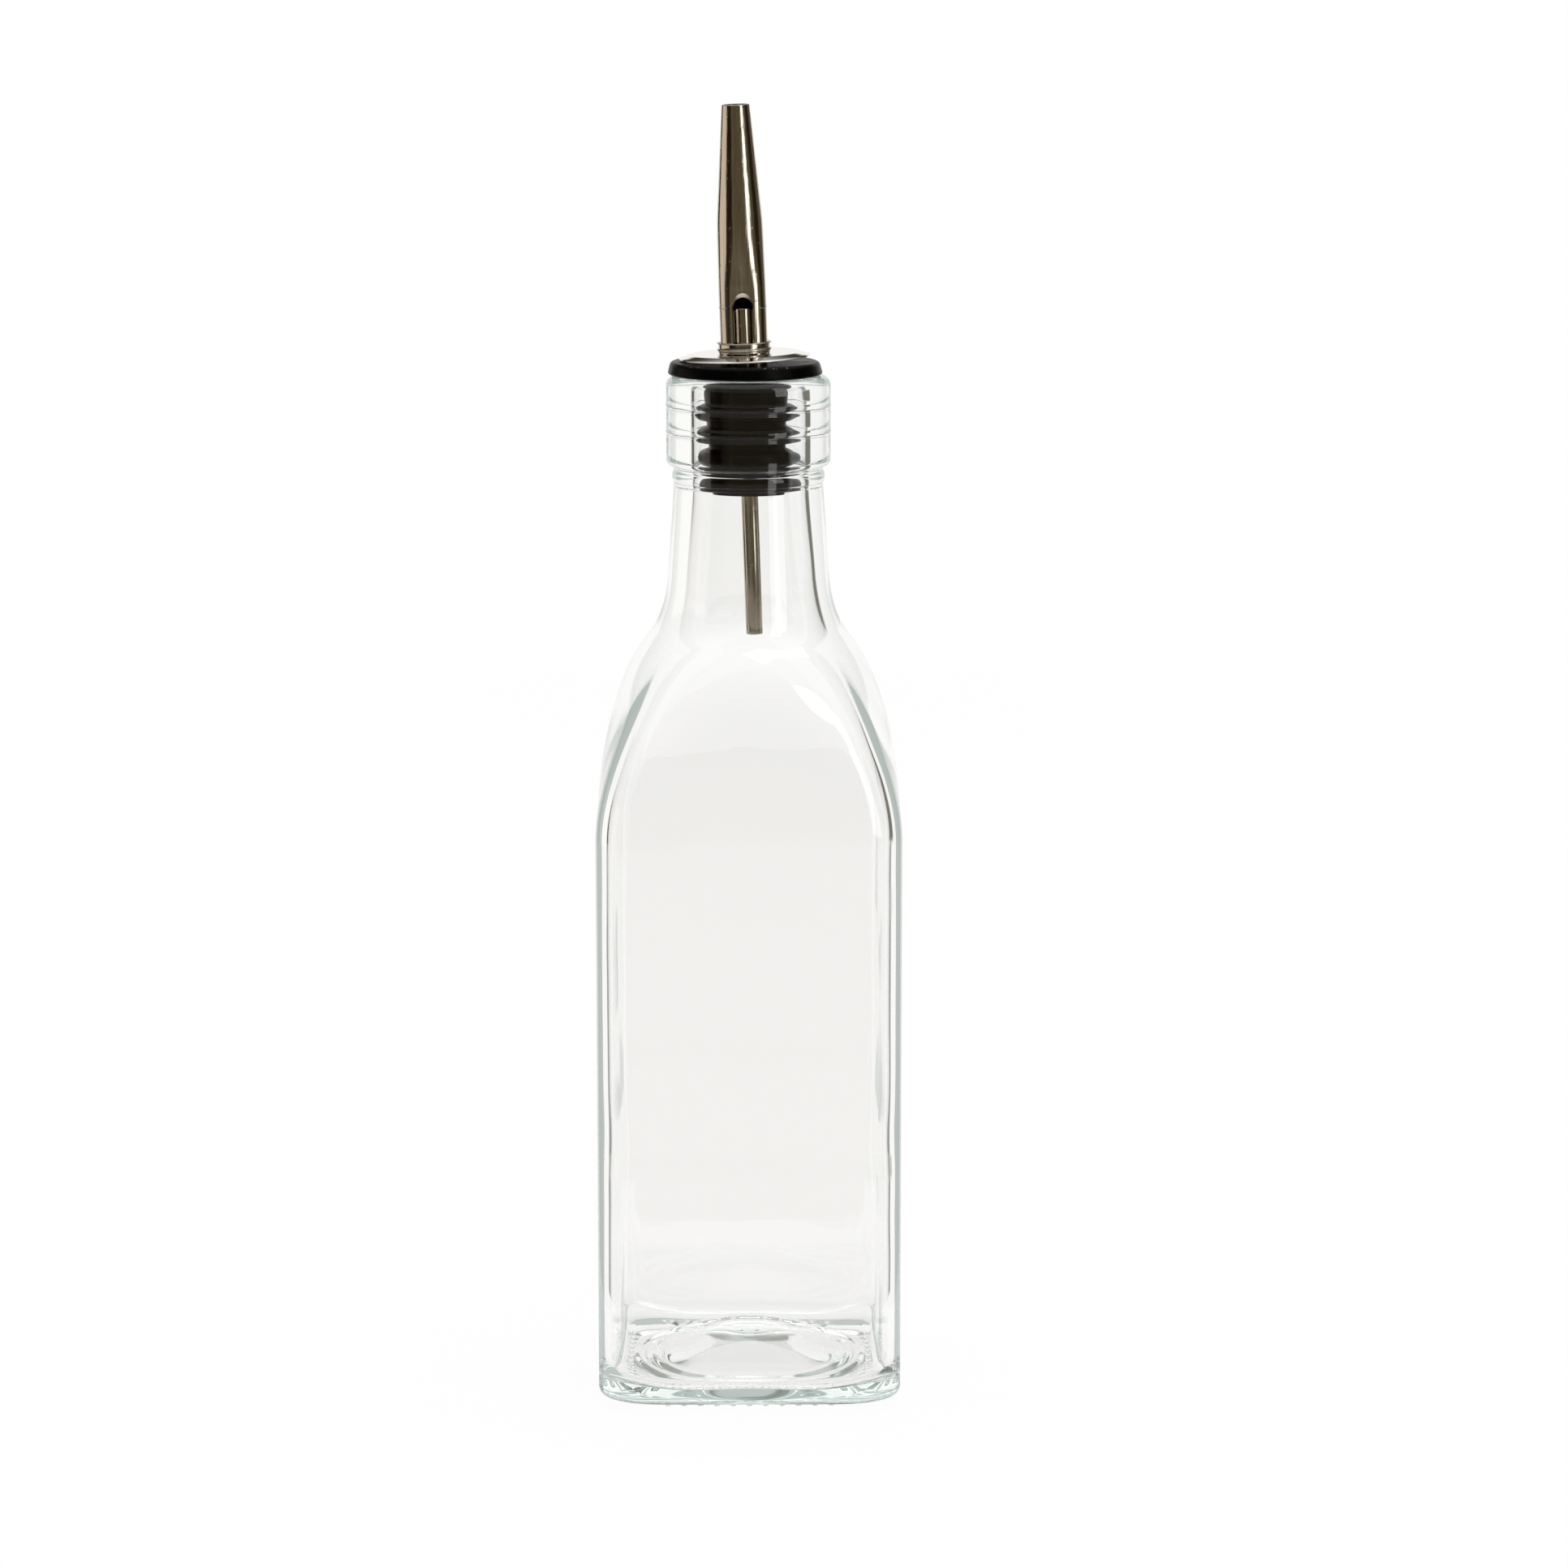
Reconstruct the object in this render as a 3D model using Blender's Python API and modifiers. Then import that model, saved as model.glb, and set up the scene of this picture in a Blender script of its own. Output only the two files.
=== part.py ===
# Olive oil dispenser bottle: a square glass bottle, a ribbed rubber cork that lifts out of its neck,
# and a stainless steel pourer that turns in the cork. The pourer is a tapered spout with an air tube
# in a groove along its front, a beaded collar and a washer.
# Metres, +Z up. The origin is under the middle of the base, and the spout's groove faces -Y.

import math

import bmesh
import bpy
from mathutils import Matrix

MM = 0.001

# Steel stem, from which the cork and then the bottle's bore take their radii
STEM_RADIUS = 4.65 * MM
SEAT_GAP = 0.3 * MM

# Rubber cork
PLUG_WALL = 3.05 * MM
PLUG_TAPER = 1.0 * MM
PLUG_LENGTH = 23.3 * MM
PLUG_FLARE_RADIUS = 0.9 * MM
FIN_COUNT = 4
FIN_REACH = 2.45 * MM
FIN_CLEARANCE = 0.3 * MM
FIN_TAPER = 0.55 * MM
FIRST_FIN_DEPTH = 7.0 * MM
FIN_END_LAND = 0.6 * MM
FIN_THICKNESS_SHARE = 0.7
FIN_UPPER_SHARE = 0.3
FLANGE_COVER = 4.7 * MM
FLANGE_TOP_INSET = 0.45 * MM
FLANGE_HEIGHT = 2.5 * MM
FLANGE_EDGE_RADIUS = 0.6 * MM
PLUG_TOP_RADIUS = STEM_RADIUS + SEAT_GAP + PLUG_WALL
PLUG_END_RADIUS = PLUG_TOP_RADIUS - PLUG_TAPER

# Glass bottle, neck and finish
BORE_RADIUS = PLUG_TOP_RADIUS + FIN_REACH + FIN_CLEARANCE
BORE_EDGE_RADIUS = 1.2 * MM
NECK_TOP_WALL = 3.95 * MM
NECK_FLARE = 1.6 * MM
NECK_FOOT_WALL = 3.0 * MM
NECK_HEIGHT = 24.1 * MM
BEAD_HEIGHT = 2.2 * MM
BEAD_PROUD = 0.35 * MM
THROAT_HEIGHT = 1.0 * MM
RING_PROUD = 1.5 * MM
RING_HEIGHT = 17.6 * MM
RING_EDGE_RADIUS = 1.2 * MM
LIP_RADIUS = 1.8 * MM
NECK_TOP_RADIUS = BORE_RADIUS + NECK_TOP_WALL
NECK_FOOT_RADIUS = NECK_TOP_RADIUS + NECK_FLARE
RING_RADIUS = NECK_TOP_RADIUS + RING_PROUD

# Glass bottle, shoulder: the first part of a quarter ellipse, then a fillet up to the neck
SHOULDER_RISE = 44.0 * MM
SHOULDER_THICKENING = 4.0 * MM
SHOULDER_ARC_SHARE = 2 / 3
NECK_FILLET_HEIGHT = 6.0 * MM
NECK_FILLET_WIDTH = 3.45 * MM
INNER_FILLET_WIDTH = 2.8 * MM

# Glass bottle, body and base
BODY_WIDTH = 60.0 * MM
BODY_CORNER_RADIUS = 9.0 * MM
BODY_WALL = 2.4 * MM
STRAIGHT_HEIGHT = 114.0 * MM
HEEL_RADIUS = 4.0 * MM
BEARING_WIDTH = 2.5 * MM
PUSH_UP_HEIGHT = 3.5 * MM
PUSH_UP_CORNER_RADIUS = 12.0 * MM
PUSH_UP_RING_SHARES = (0.2, 0.4, 0.6, 0.8, 0.93, 1.0)
FLOOR_THICKNESS = 4.5 * MM
FLOOR_RING_SHARES = (0.75, 0.5, 0.25)
INNER_HEEL_RADIUS = 6.0 * MM

# Steel spout: it leans a little in the soft cork, about a point on the axis above the plug's end
LEAN = math.radians(2.0)
PIVOT_RISE = 5.8 * MM
STEM_END_INSET = 1.0 * MM
TUBE_WALL = 0.6 * MM
SPOUT_REACH = 50.2 * MM
SPOUT_CONE_LENGTH = 23.0 * MM
SPOUT_KNEE_DROP = 12.0 * MM
SPOUT_KNEE_TAPER = 0.15 * MM
MOUTH_RADIUS = 2.75 * MM
MOUTH_EDGE_RADIUS = 0.2 * MM

# Steel washer and collar
WASHER_WIDTH = 7.95 * MM
WASHER_BEVEL_WIDTH = 1.6 * MM
WASHER_HEIGHT = 0.9 * MM
WASHER_RIM_HEIGHT = 0.25 * MM
COLLAR_GAP = 0.15 * MM
COLLAR_WALL = 0.3 * MM
COLLAR_LIP_HEIGHT = 0.5 * MM
COLLAR_BEAD_HEIGHT = 0.8 * MM
COLLAR_BEAD_PROUD = 0.3 * MM
COLLAR_BEAD_COUNT = 2
WASHER_RADIUS = STEM_RADIUS + SEAT_GAP + WASHER_WIDTH
COLLAR_HEIGHT = COLLAR_LIP_HEIGHT + COLLAR_BEAD_COUNT * COLLAR_BEAD_HEIGHT

# Steel air tube, and the groove in the spout that it lies in
AIR_TUBE_RADIUS = 1.65 * MM
AIR_TUBE_WALL = 0.5 * MM
AIR_TUBE_RECESS = 0.2 * MM
AIR_TUBE_RISE = 6.4 * MM
AIR_TUBE_HANG = 28.6 * MM
GROOVE_CLEARANCE = 0.35 * MM
GROOVE_WALL = 0.9 * MM
ARCH_RISE = 3.6 * MM
AIR_TUBE_OFFSET = STEM_RADIUS - AIR_TUBE_RADIUS - AIR_TUBE_RECESS
GROOVE_RADIUS = AIR_TUBE_RADIUS + GROOVE_CLEARANCE

# Facets
SIDE_STEPS = 2
CORNER_STEPS = 8
CORK_STEPS = 40
STEEL_STEPS = 32
AIR_TUBE_STEPS = 20
SHARP_ANGLE = math.radians(40.0)
MERGE_DISTANCE = 0.01 * MM
CUT_OVERRUN = 5.0 * MM


def elliptic_arc(centre, radii, start, end, steps):
    """Points of an ellipse's arc in the profile plane, both ends included."""
    points = []
    for step in range(steps + 1):
        angle = start + (end - start) * step / steps
        points.append((centre[0] + radii[0] * math.cos(angle), centre[1] + radii[1] * math.sin(angle)))
    return points


def smooth_link(start, start_way, end, end_way, steps):
    """Points between two ends on a cubic that leaves and arrives along the given ways, ends left out."""
    chord = math.dist(start, end)
    start_pull = [chord * part / math.hypot(*start_way) for part in start_way]
    end_pull = [chord * part / math.hypot(*end_way) for part in end_way]
    points = []
    for step in range(1, steps):
        t = step / steps
        weights = (2 * t**3 - 3 * t**2 + 1, t**3 - 2 * t**2 + t, 3 * t**2 - 2 * t**3, t**3 - t**2)
        parts = zip(start, start_pull, end, end_pull)
        points.append(tuple(sum(w * part for w, part in zip(weights, axis)) for axis in parts))
    return points


def smooth_share(share):
    share = min(max(share, 0.0), 1.0)
    return share * share * (3 - 2 * share)


def section_points(half_width, corner_radius, roundness):
    """One ring of the bottle: a rounded square that turns into a circle as roundness goes to 1."""
    corner_radius = min(corner_radius, half_width)
    side = half_width - corner_radius
    quarter = [(half_width, side * step / SIDE_STEPS) for step in range(SIDE_STEPS)]
    quarter += elliptic_arc((side, side), (corner_radius, corner_radius), 0.0, math.pi / 2, CORNER_STEPS)
    quarter += [(side * step / SIDE_STEPS, half_width) for step in range(SIDE_STEPS - 1, 0, -1)]
    ring = []
    for turn in range(4):
        for index, (x, y) in enumerate(quarter):
            angle = math.pi / 2 * index / len(quarter)
            x += roundness * (half_width * math.cos(angle) - x)
            y += roundness * (half_width * math.sin(angle) - y)
            for _ in range(turn):
                x, y = -y, x
            ring.append((x, y))
    return ring


def shoulder_arc(half_width, end_radius, rise, steps):
    """The shoulder's profile from its foot up to where its radius is end_radius, and its way there."""
    end = math.pi / 2 * SHOULDER_ARC_SHARE
    draw = (half_width - end_radius) / (1 - math.cos(end))
    points = elliptic_arc((half_width - draw, STRAIGHT_HEIGHT), (draw, rise), 0.0, end, steps)
    return points, (-draw * math.sin(end), rise * math.cos(end))


def bottle_heights():
    shoulder_top = STRAIGHT_HEIGHT + SHOULDER_RISE * math.sin(math.pi / 2 * SHOULDER_ARC_SHARE)
    neck_foot = shoulder_top + NECK_FILLET_HEIGHT
    neck_top = neck_foot + NECK_HEIGHT
    ring_foot = neck_top + BEAD_HEIGHT + THROAT_HEIGHT
    return neck_foot, neck_top, ring_foot, ring_foot + RING_HEIGHT


def base_rings():
    """Underside from the middle of the push-up to the top of the heel, as outer_rings gives them."""
    half = BODY_WIDTH / 2
    bearing = half - HEEL_RADIUS
    recess = bearing - BEARING_WIDTH
    rings = []
    for share in PUSH_UP_RING_SHARES:
        rise = PUSH_UP_HEIGHT * (1 - smooth_share(share))
        rings.append((recess * share, rise, PUSH_UP_CORNER_RADIUS * share, 1 - smooth_share(share)))
    for x, z in elliptic_arc((bearing, HEEL_RADIUS), (HEEL_RADIUS, HEEL_RADIUS), -math.pi / 2, 0.0, 5):
        rings.append((x, z, BODY_CORNER_RADIUS - half + x, 0.0))
    return rings


def outer_rings():
    """Half width, height, corner radius and roundness of each ring outside, from the base to the lip."""
    half = BODY_WIDTH / 2
    neck_foot, neck_top, ring_foot, top = bottle_heights()
    rings = base_rings()
    shoulder, way = shoulder_arc(half, NECK_FOOT_RADIUS + NECK_FILLET_WIDTH, SHOULDER_RISE, 11)
    neck_way = (NECK_TOP_RADIUS - NECK_FOOT_RADIUS, NECK_HEIGHT)
    foot = (NECK_FOOT_RADIUS, neck_foot)
    upper = smooth_link(shoulder[-1], way, foot, neck_way, 4) + [foot]
    for x, z in shoulder + upper:
        roundness = smooth_share((z - STRAIGHT_HEIGHT) / (neck_foot - STRAIGHT_HEIGHT))
        rings.append((x, z, BODY_CORNER_RADIUS, roundness))
    bead = (BEAD_PROUD, BEAD_HEIGHT / 2)
    lip = (LIP_RADIUS, LIP_RADIUS)
    profile = elliptic_arc((NECK_TOP_RADIUS, neck_top + BEAD_HEIGHT / 2), bead, -math.pi / 2, math.pi / 2, 4)
    profile.append((NECK_TOP_RADIUS, ring_foot))
    edge = min(RING_EDGE_RADIUS, RING_PROUD)
    profile += elliptic_arc((RING_RADIUS - edge, ring_foot + edge), (edge, edge), -math.pi / 2, 0.0, 3)
    profile += elliptic_arc((RING_RADIUS - LIP_RADIUS, top - LIP_RADIUS), lip, 0.0, math.pi / 2, 4)
    return rings + [(x, z, x, 1.0) for x, z in profile]


def inner_rings():
    """The same for the inside, from the mouth down to the floor."""
    half = BODY_WIDTH / 2 - BODY_WALL
    neck_foot, neck_top, ring_foot, top = bottle_heights()
    edge = (BORE_EDGE_RADIUS, BORE_EDGE_RADIUS)
    edge_centre = (BORE_RADIUS + BORE_EDGE_RADIUS, top - BORE_EDGE_RADIUS)
    mouth = elliptic_arc(edge_centre, edge, math.pi / 2, math.pi, 3)
    bore_foot = (BORE_RADIUS, neck_top)
    neck_low = (NECK_FOOT_RADIUS - NECK_FOOT_WALL, neck_foot)
    shoulder_end = neck_low[0] + INNER_FILLET_WIDTH
    shoulder, way = shoulder_arc(half, shoulder_end, SHOULDER_RISE - SHOULDER_THICKENING, 9)
    down = (0.0, -1.0)
    taper = (neck_low[0] - bore_foot[0], neck_low[1] - bore_foot[1])
    profile = mouth + [bore_foot] + smooth_link(bore_foot, down, neck_low, taper, 3) + [neck_low]
    profile += smooth_link(neck_low, taper, shoulder[-1], (-way[0], -way[1]), 4) + shoulder[::-1]
    corner = BODY_CORNER_RADIUS - BODY_WALL
    rings = []
    for x, z in profile:
        roundness = smooth_share((z - STRAIGHT_HEIGHT) / (neck_foot - STRAIGHT_HEIGHT))
        rings.append((x, z, corner, roundness))
    floor = PUSH_UP_HEIGHT + FLOOR_THICKNESS
    edge_floor = floor - PUSH_UP_HEIGHT / 2
    heel_centre = (half - INNER_HEEL_RADIUS, edge_floor + INNER_HEEL_RADIUS)
    heel = (INNER_HEEL_RADIUS, INNER_HEEL_RADIUS)
    for x, z in elliptic_arc(heel_centre, heel, 0.0, -math.pi / 2, 4):
        rings.append((x, z, corner, 0.0))
    for share in FLOOR_RING_SHARES:
        z = edge_floor + (floor - edge_floor) * (1 - smooth_share(share))
        rings.append((heel_centre[0] * share, z, corner * share, 1 - smooth_share(share)))
    return rings


def loft(name, rings, bottom, last):
    """A closed skin through all the rings, with a point at each end."""
    mesh = bmesh.new()
    first = mesh.verts.new((0.0, 0.0, bottom))
    skins = []
    for half_width, height, corner_radius, roundness in rings:
        points = section_points(half_width, corner_radius, roundness)
        skins.append([mesh.verts.new((x, y, height)) for x, y in points])
    end = mesh.verts.new((0.0, 0.0, last))
    count = len(skins[0])
    for index in range(count):
        after = (index + 1) % count
        mesh.faces.new((first, skins[0][after], skins[0][index]))
        for low, high in zip(skins, skins[1:]):
            mesh.faces.new((low[index], low[after], high[after], high[index]))
        mesh.faces.new((end, skins[-1][index], skins[-1][after]))
    data = bpy.data.meshes.new(name)
    mesh.to_mesh(data)
    mesh.free()
    return bpy.data.objects.new(name, data)


def turned(name, profile, steps):
    """A profile of (radius, height) points, from the top down the outer side, turned about Z."""
    data = bpy.data.meshes.new(name)
    edges = [(index, index + 1) for index in range(len(profile) - 1)]
    if profile[0][0] > 0 and profile[-1][0] > 0:
        edges.append((len(profile) - 1, 0))
    data.from_pydata([(radius, 0.0, height) for radius, height in profile], edges, [])
    piece = bpy.data.objects.new(name, data)
    screw = piece.modifiers.new("turn", "SCREW")
    screw.steps = steps
    screw.render_steps = steps
    screw.use_merge_vertices = True
    screw.merge_threshold = MERGE_DISTANCE
    return piece


def boolean(piece, other, operation="DIFFERENCE"):
    cut = piece.modifiers.new(other.name, "BOOLEAN")
    cut.operation = operation
    cut.object = other


def cutter_from(piece, cutters):
    piece.hide_render = True
    piece.display_type = "WIRE"
    cutters.objects.link(piece)
    return piece


def round_bar(name, radius, low, high, cutters):
    """A straight cutter round the air tube's axis, from a low end to the top of its dome."""
    profile = elliptic_arc((0.0, high - radius), (radius, radius), math.pi / 2, 0.0, 6)
    profile = [(0.0, high)] + profile[1:] + [(radius, low), (0.0, low)]
    bar = cutter_from(turned(name, profile, STEEL_STEPS), cutters)
    bar.location.y = -AIR_TUBE_OFFSET
    return bar


def arch_slab(name, half_width, low, high, depth, cutters):
    """A flat cutter with an arched top, from the air tube's axis out through the front."""
    mesh = bmesh.new()
    outline = [(half_width, low)] + elliptic_arc(
        (0.0, high - half_width), (half_width, half_width), 0.0, math.pi, 12
    ) + [(-half_width, low)]
    face = mesh.faces.new([mesh.verts.new((x, 0.0, z)) for x, z in outline])
    pushed = bmesh.ops.extrude_face_region(mesh, geom=[face])["geom"]
    moved = [item for item in pushed if isinstance(item, bmesh.types.BMVert)]
    bmesh.ops.translate(mesh, verts=moved, vec=(0.0, -depth, 0.0))
    bmesh.ops.recalc_face_normals(mesh, faces=mesh.faces)
    data = bpy.data.meshes.new(name)
    mesh.to_mesh(data)
    mesh.free()
    slab = cutter_from(bpy.data.objects.new(name, data), cutters)
    slab.location.y = -AIR_TUBE_OFFSET
    return slab


def cork_bottom():
    return bottle_heights()[3] + SEAT_GAP - PLUG_LENGTH


def pivot_height():
    """The height at which the leaning pourer crosses the bottle's axis."""
    return cork_bottom() + PIVOT_RISE


def cork_top():
    return bottle_heights()[3] + SEAT_GAP + FLANGE_HEIGHT


def washer_low():
    """Height of the washer's rim above the pivot, with its lower side just clear of the cork."""
    drop = WASHER_RADIUS * math.sin(LEAN)
    return (cork_top() + SEAT_GAP + drop - pivot_height()) / math.cos(LEAN)


def collar_low():
    return washer_low() + WASHER_HEIGHT + COLLAR_GAP


def spout_top():
    """Height of the mouth above the pivot, so that its higher side is SPOUT_REACH above the cork."""
    return (cork_top() + SPOUT_REACH - pivot_height() - MOUTH_RADIUS * math.sin(LEAN)) / math.cos(LEAN)


def stem_low():
    return (cork_bottom() + STEM_END_INSET - pivot_height()) / math.cos(LEAN)


def air_tube_top():
    return collar_low() + COLLAR_HEIGHT + AIR_TUBE_RISE


def make_bottle():
    floor = PUSH_UP_HEIGHT + FLOOR_THICKNESS
    return loft("glass_bottle", outer_rings() + inner_rings(), PUSH_UP_HEIGHT, floor)


def fin_profile(core_radius, tip_radius, tip_height, thickness):
    """One fin from its upper root over its tip to its lower root, flatter above than below."""
    reach = tip_radius - core_radius
    over = thickness * FIN_UPPER_SHARE
    upper = elliptic_arc((core_radius, tip_height), (reach, over), math.pi / 2, 0.0, 4)
    lower = elliptic_arc((core_radius, tip_height), (reach, thickness - over), 0.0, -math.pi / 2, 4)
    return upper + lower[1:]


def fins_profile(seat):
    """All fins from the top one down. The room for the cork's lean comes off each tip."""
    lower_share = FIN_THICKNESS_SHARE * (1 - FIN_UPPER_SHARE)
    pitch = (PLUG_LENGTH - FIRST_FIN_DEPTH - FIN_END_LAND) / (FIN_COUNT - 1 + lower_share)
    profile = []
    for fin in range(FIN_COUNT):
        depth = FIRST_FIN_DEPTH + fin * pitch
        core = PLUG_TOP_RADIUS - PLUG_TAPER * depth / PLUG_LENGTH
        shift = math.tan(LEAN) * abs(seat - depth - pivot_height())
        tip = BORE_RADIUS - FIN_CLEARANCE - shift - FIN_TAPER * fin / FIN_COUNT
        profile += fin_profile(core, tip, seat - depth, pitch * FIN_THICKNESS_SHARE)
    return profile


def make_cork(cutters):
    seat = bottle_heights()[3] + SEAT_GAP
    bottom = cork_bottom()
    flange_radius = BORE_RADIUS + FLANGE_COVER
    edge_centre = (flange_radius - FLANGE_TOP_INSET - FLANGE_EDGE_RADIUS, cork_top() - FLANGE_EDGE_RADIUS)
    edge = (FLANGE_EDGE_RADIUS, FLANGE_EDGE_RADIUS)
    flare_centre = (PLUG_TOP_RADIUS + PLUG_FLARE_RADIUS, seat - PLUG_FLARE_RADIUS)
    flare = (PLUG_FLARE_RADIUS, PLUG_FLARE_RADIUS)
    profile = [(0.0, cork_top())] + elliptic_arc(edge_centre, edge, math.pi / 2, 0.0, 3)
    profile += [(flange_radius, seat)] + elliptic_arc(flare_centre, flare, math.pi / 2, math.pi, 3)
    profile += fins_profile(seat) + [(PLUG_END_RADIUS, bottom), (0.0, bottom)]
    cork = baked(turned("rubber_cork", profile, CORK_STEPS))
    for vertex in cork.data.vertices:
        vertex.co.x -= math.tan(LEAN) * (vertex.co.z - pivot_height())
    radius = STEM_RADIUS + SEAT_GAP
    low = bottom - pivot_height() - CUT_OVERRUN
    high = cork_top() - pivot_height() + CUT_OVERRUN
    bore = [(0.0, high), (radius, high), (radius, low), (0.0, low)]
    bore_cutter = cutter_from(turned("cork_bore_cutter", bore, STEEL_STEPS), cutters)
    boolean(cork, bore_cutter)
    return cork, bore_cutter


def make_washer():
    low = washer_low()
    top = low + WASHER_HEIGHT
    bore = STEM_RADIUS + SEAT_GAP
    bevel_radius = WASHER_RADIUS - WASHER_BEVEL_WIDTH
    bevel = (WASHER_BEVEL_WIDTH, WASHER_HEIGHT - WASHER_RIM_HEIGHT)
    profile = [(bore, top)]
    profile += elliptic_arc((bevel_radius, low + WASHER_RIM_HEIGHT), bevel, math.pi / 2, 0.0, 5)
    profile += [(WASHER_RADIUS, low), (bore, low)]
    return turned("washer", profile, CORK_STEPS)


def make_collar():
    low = collar_low()
    bore = STEM_RADIUS + COLLAR_GAP
    wall = bore + COLLAR_WALL
    top = low + COLLAR_HEIGHT
    profile = [(bore, top), (wall + COLLAR_BEAD_PROUD, top)]
    radii = (COLLAR_BEAD_PROUD, COLLAR_BEAD_HEIGHT / 2)
    for bead in range(COLLAR_BEAD_COUNT - 1, -1, -1):
        centre = (wall, low + COLLAR_BEAD_HEIGHT * (bead + 1 / 2))
        profile += elliptic_arc(centre, radii, math.pi / 2, -math.pi / 2, 5)
    profile.append((bore, low))
    return turned("collar", merged_points(profile), STEEL_STEPS)


def merged_points(profile):
    """The profile without a point that lies on the one before it."""
    kept = profile[:1]
    for point in profile[1:]:
        if math.dist(point, kept[-1]) > MERGE_DISTANCE:
            kept.append(point)
    return kept


def spout_profile(inset):
    """Outer side of the spout from its mouth down, moved in by a wall's thickness for the bore."""
    top = spout_top()
    knee = top - SPOUT_CONE_LENGTH
    return [
        (MOUTH_RADIUS - inset, top),
        (STEM_RADIUS - SPOUT_KNEE_TAPER - inset, knee),
        (STEM_RADIUS - inset, knee - SPOUT_KNEE_DROP),
    ]


def make_spout(cutters):
    mouth, knee, shank = spout_profile(0.0)
    low = stem_low()
    profile = [(0.0, mouth[1]), (MOUTH_RADIUS - MOUTH_EDGE_RADIUS, mouth[1])]
    profile += [(MOUTH_RADIUS, mouth[1] - MOUTH_EDGE_RADIUS), knee, shank, (STEM_RADIUS, low), (0.0, low)]
    spout = turned("spout", profile, STEEL_STEPS)
    mouth, knee, shank = spout_profile(TUBE_WALL)
    above = mouth[1] + CUT_OVERRUN
    below = low - CUT_OVERRUN
    bore = [(0.0, above), (mouth[0], above), mouth, knee, shank, (shank[0], below), (0.0, below)]
    bore_cutter = cutter_from(turned("spout_bore_cutter", bore, STEEL_STEPS), cutters)
    arch_top = air_tube_top() + ARCH_RISE
    below -= CUT_OVERRUN
    wall_radius = GROOVE_RADIUS + GROOVE_WALL
    back_wall = round_bar("groove_back_wall", wall_radius, below, arch_top + GROOVE_WALL, cutters)
    boolean(bore_cutter, back_wall)
    boolean(spout, bore_cutter)
    groove = round_bar("groove_cutter", GROOVE_RADIUS, below, arch_top, cutters)
    boolean(spout, groove)
    slab = arch_slab("groove_mouth_cutter", GROOVE_RADIUS, below, arch_top, STEM_RADIUS, cutters)
    boolean(spout, slab)
    return spout, [bore_cutter, back_wall, groove, slab]


def make_air_tube():
    low = (cork_bottom() - pivot_height()) / math.cos(LEAN) - AIR_TUBE_HANG
    bore = AIR_TUBE_RADIUS - AIR_TUBE_WALL
    top = air_tube_top()
    profile = [(bore, top), (AIR_TUBE_RADIUS, top), (AIR_TUBE_RADIUS, low), (bore, low)]
    tube = turned("air_tube", profile, AIR_TUBE_STEPS)
    tube.location.y = -AIR_TUBE_OFFSET
    return tube


def baked(piece):
    """The piece with its modifiers applied, as a plain mesh."""
    bpy.context.scene.collection.objects.link(piece)
    bpy.context.view_layer.update()
    graph = bpy.context.evaluated_depsgraph_get()
    data = bpy.data.meshes.new_from_object(piece.evaluated_get(graph))
    bpy.context.scene.collection.objects.unlink(piece)
    old = piece.data
    piece.modifiers.clear()
    piece.data = data
    bpy.data.meshes.remove(old)
    data.name = piece.name
    return piece


def material(name, colour, roughness, metallic, transmission=0.0):
    made = bpy.data.materials.new(name)
    made.use_nodes = True
    shader = made.node_tree.nodes["Principled BSDF"]
    shader.inputs["Base Color"].default_value = (*colour, 1.0)
    shader.inputs["Roughness"].default_value = roughness
    shader.inputs["Metallic"].default_value = metallic
    shader.inputs["Transmission Weight"].default_value = transmission
    return made


def main():
    for old in list(bpy.data.objects):
        bpy.data.objects.remove(old, do_unlink=True)
    parts = bpy.data.collections.new("olive_oil_dispenser")
    cutters = bpy.data.collections.new("cutters")
    for collection in (parts, cutters):
        bpy.context.scene.collection.children.link(collection)

    stopper = bpy.data.objects.new("stopper_seat", None)
    pourer = bpy.data.objects.new("pourer_axis", None)
    for empty in (stopper, pourer):
        parts.objects.link(empty)
    stopper.location.z = bottle_heights()[3]
    pourer.parent = stopper
    pourer.location.z = pivot_height() - stopper.location.z
    pourer.rotation_euler.y = -LEAN

    bottle = make_bottle()
    cork, cork_bore = make_cork(cutters)
    spout, spout_cutters = make_spout(cutters)
    washer = make_washer()
    collar = make_collar()
    air_tube = make_air_tube()

    cork.data.transform(Matrix.Translation((0.0, 0.0, -stopper.location.z)))
    cork.parent = stopper
    for piece in (spout, washer, collar, air_tube, cork_bore, *spout_cutters):
        piece.parent = pourer

    glass = material("clear_glass", (0.88, 0.94, 0.92), 0.03, 0.0, 1.0)
    rubber = material("black_rubber", (0.02, 0.019, 0.018), 0.5, 0.0)
    finishes = {
        bottle: glass,
        cork: rubber,
        washer: material("washer_steel", (0.74, 0.72, 0.69), 0.08, 1.0),
        collar: material("collar_steel", (0.7, 0.68, 0.64), 0.1, 1.0),
        spout: material("spout_steel", (0.72, 0.69, 0.64), 0.08, 1.0),
        air_tube: material("air_tube_steel", (0.66, 0.62, 0.56), 0.16, 1.0),
    }
    for piece, finish in finishes.items():
        baked(piece)
        piece.data.shade_smooth()
        piece.data.set_sharp_from_angle(angle=SHARP_ANGLE)
        piece.data.materials.append(finish)
        parts.objects.link(piece)


main()
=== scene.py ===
# Looks of a square glass oil bottle with a ribbed rubber cork and a polished steel pourer.
# Values are in millimetres and degrees unless a note says otherwise.

import math

import bpy
from mathutils import Matrix, Vector


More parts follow.
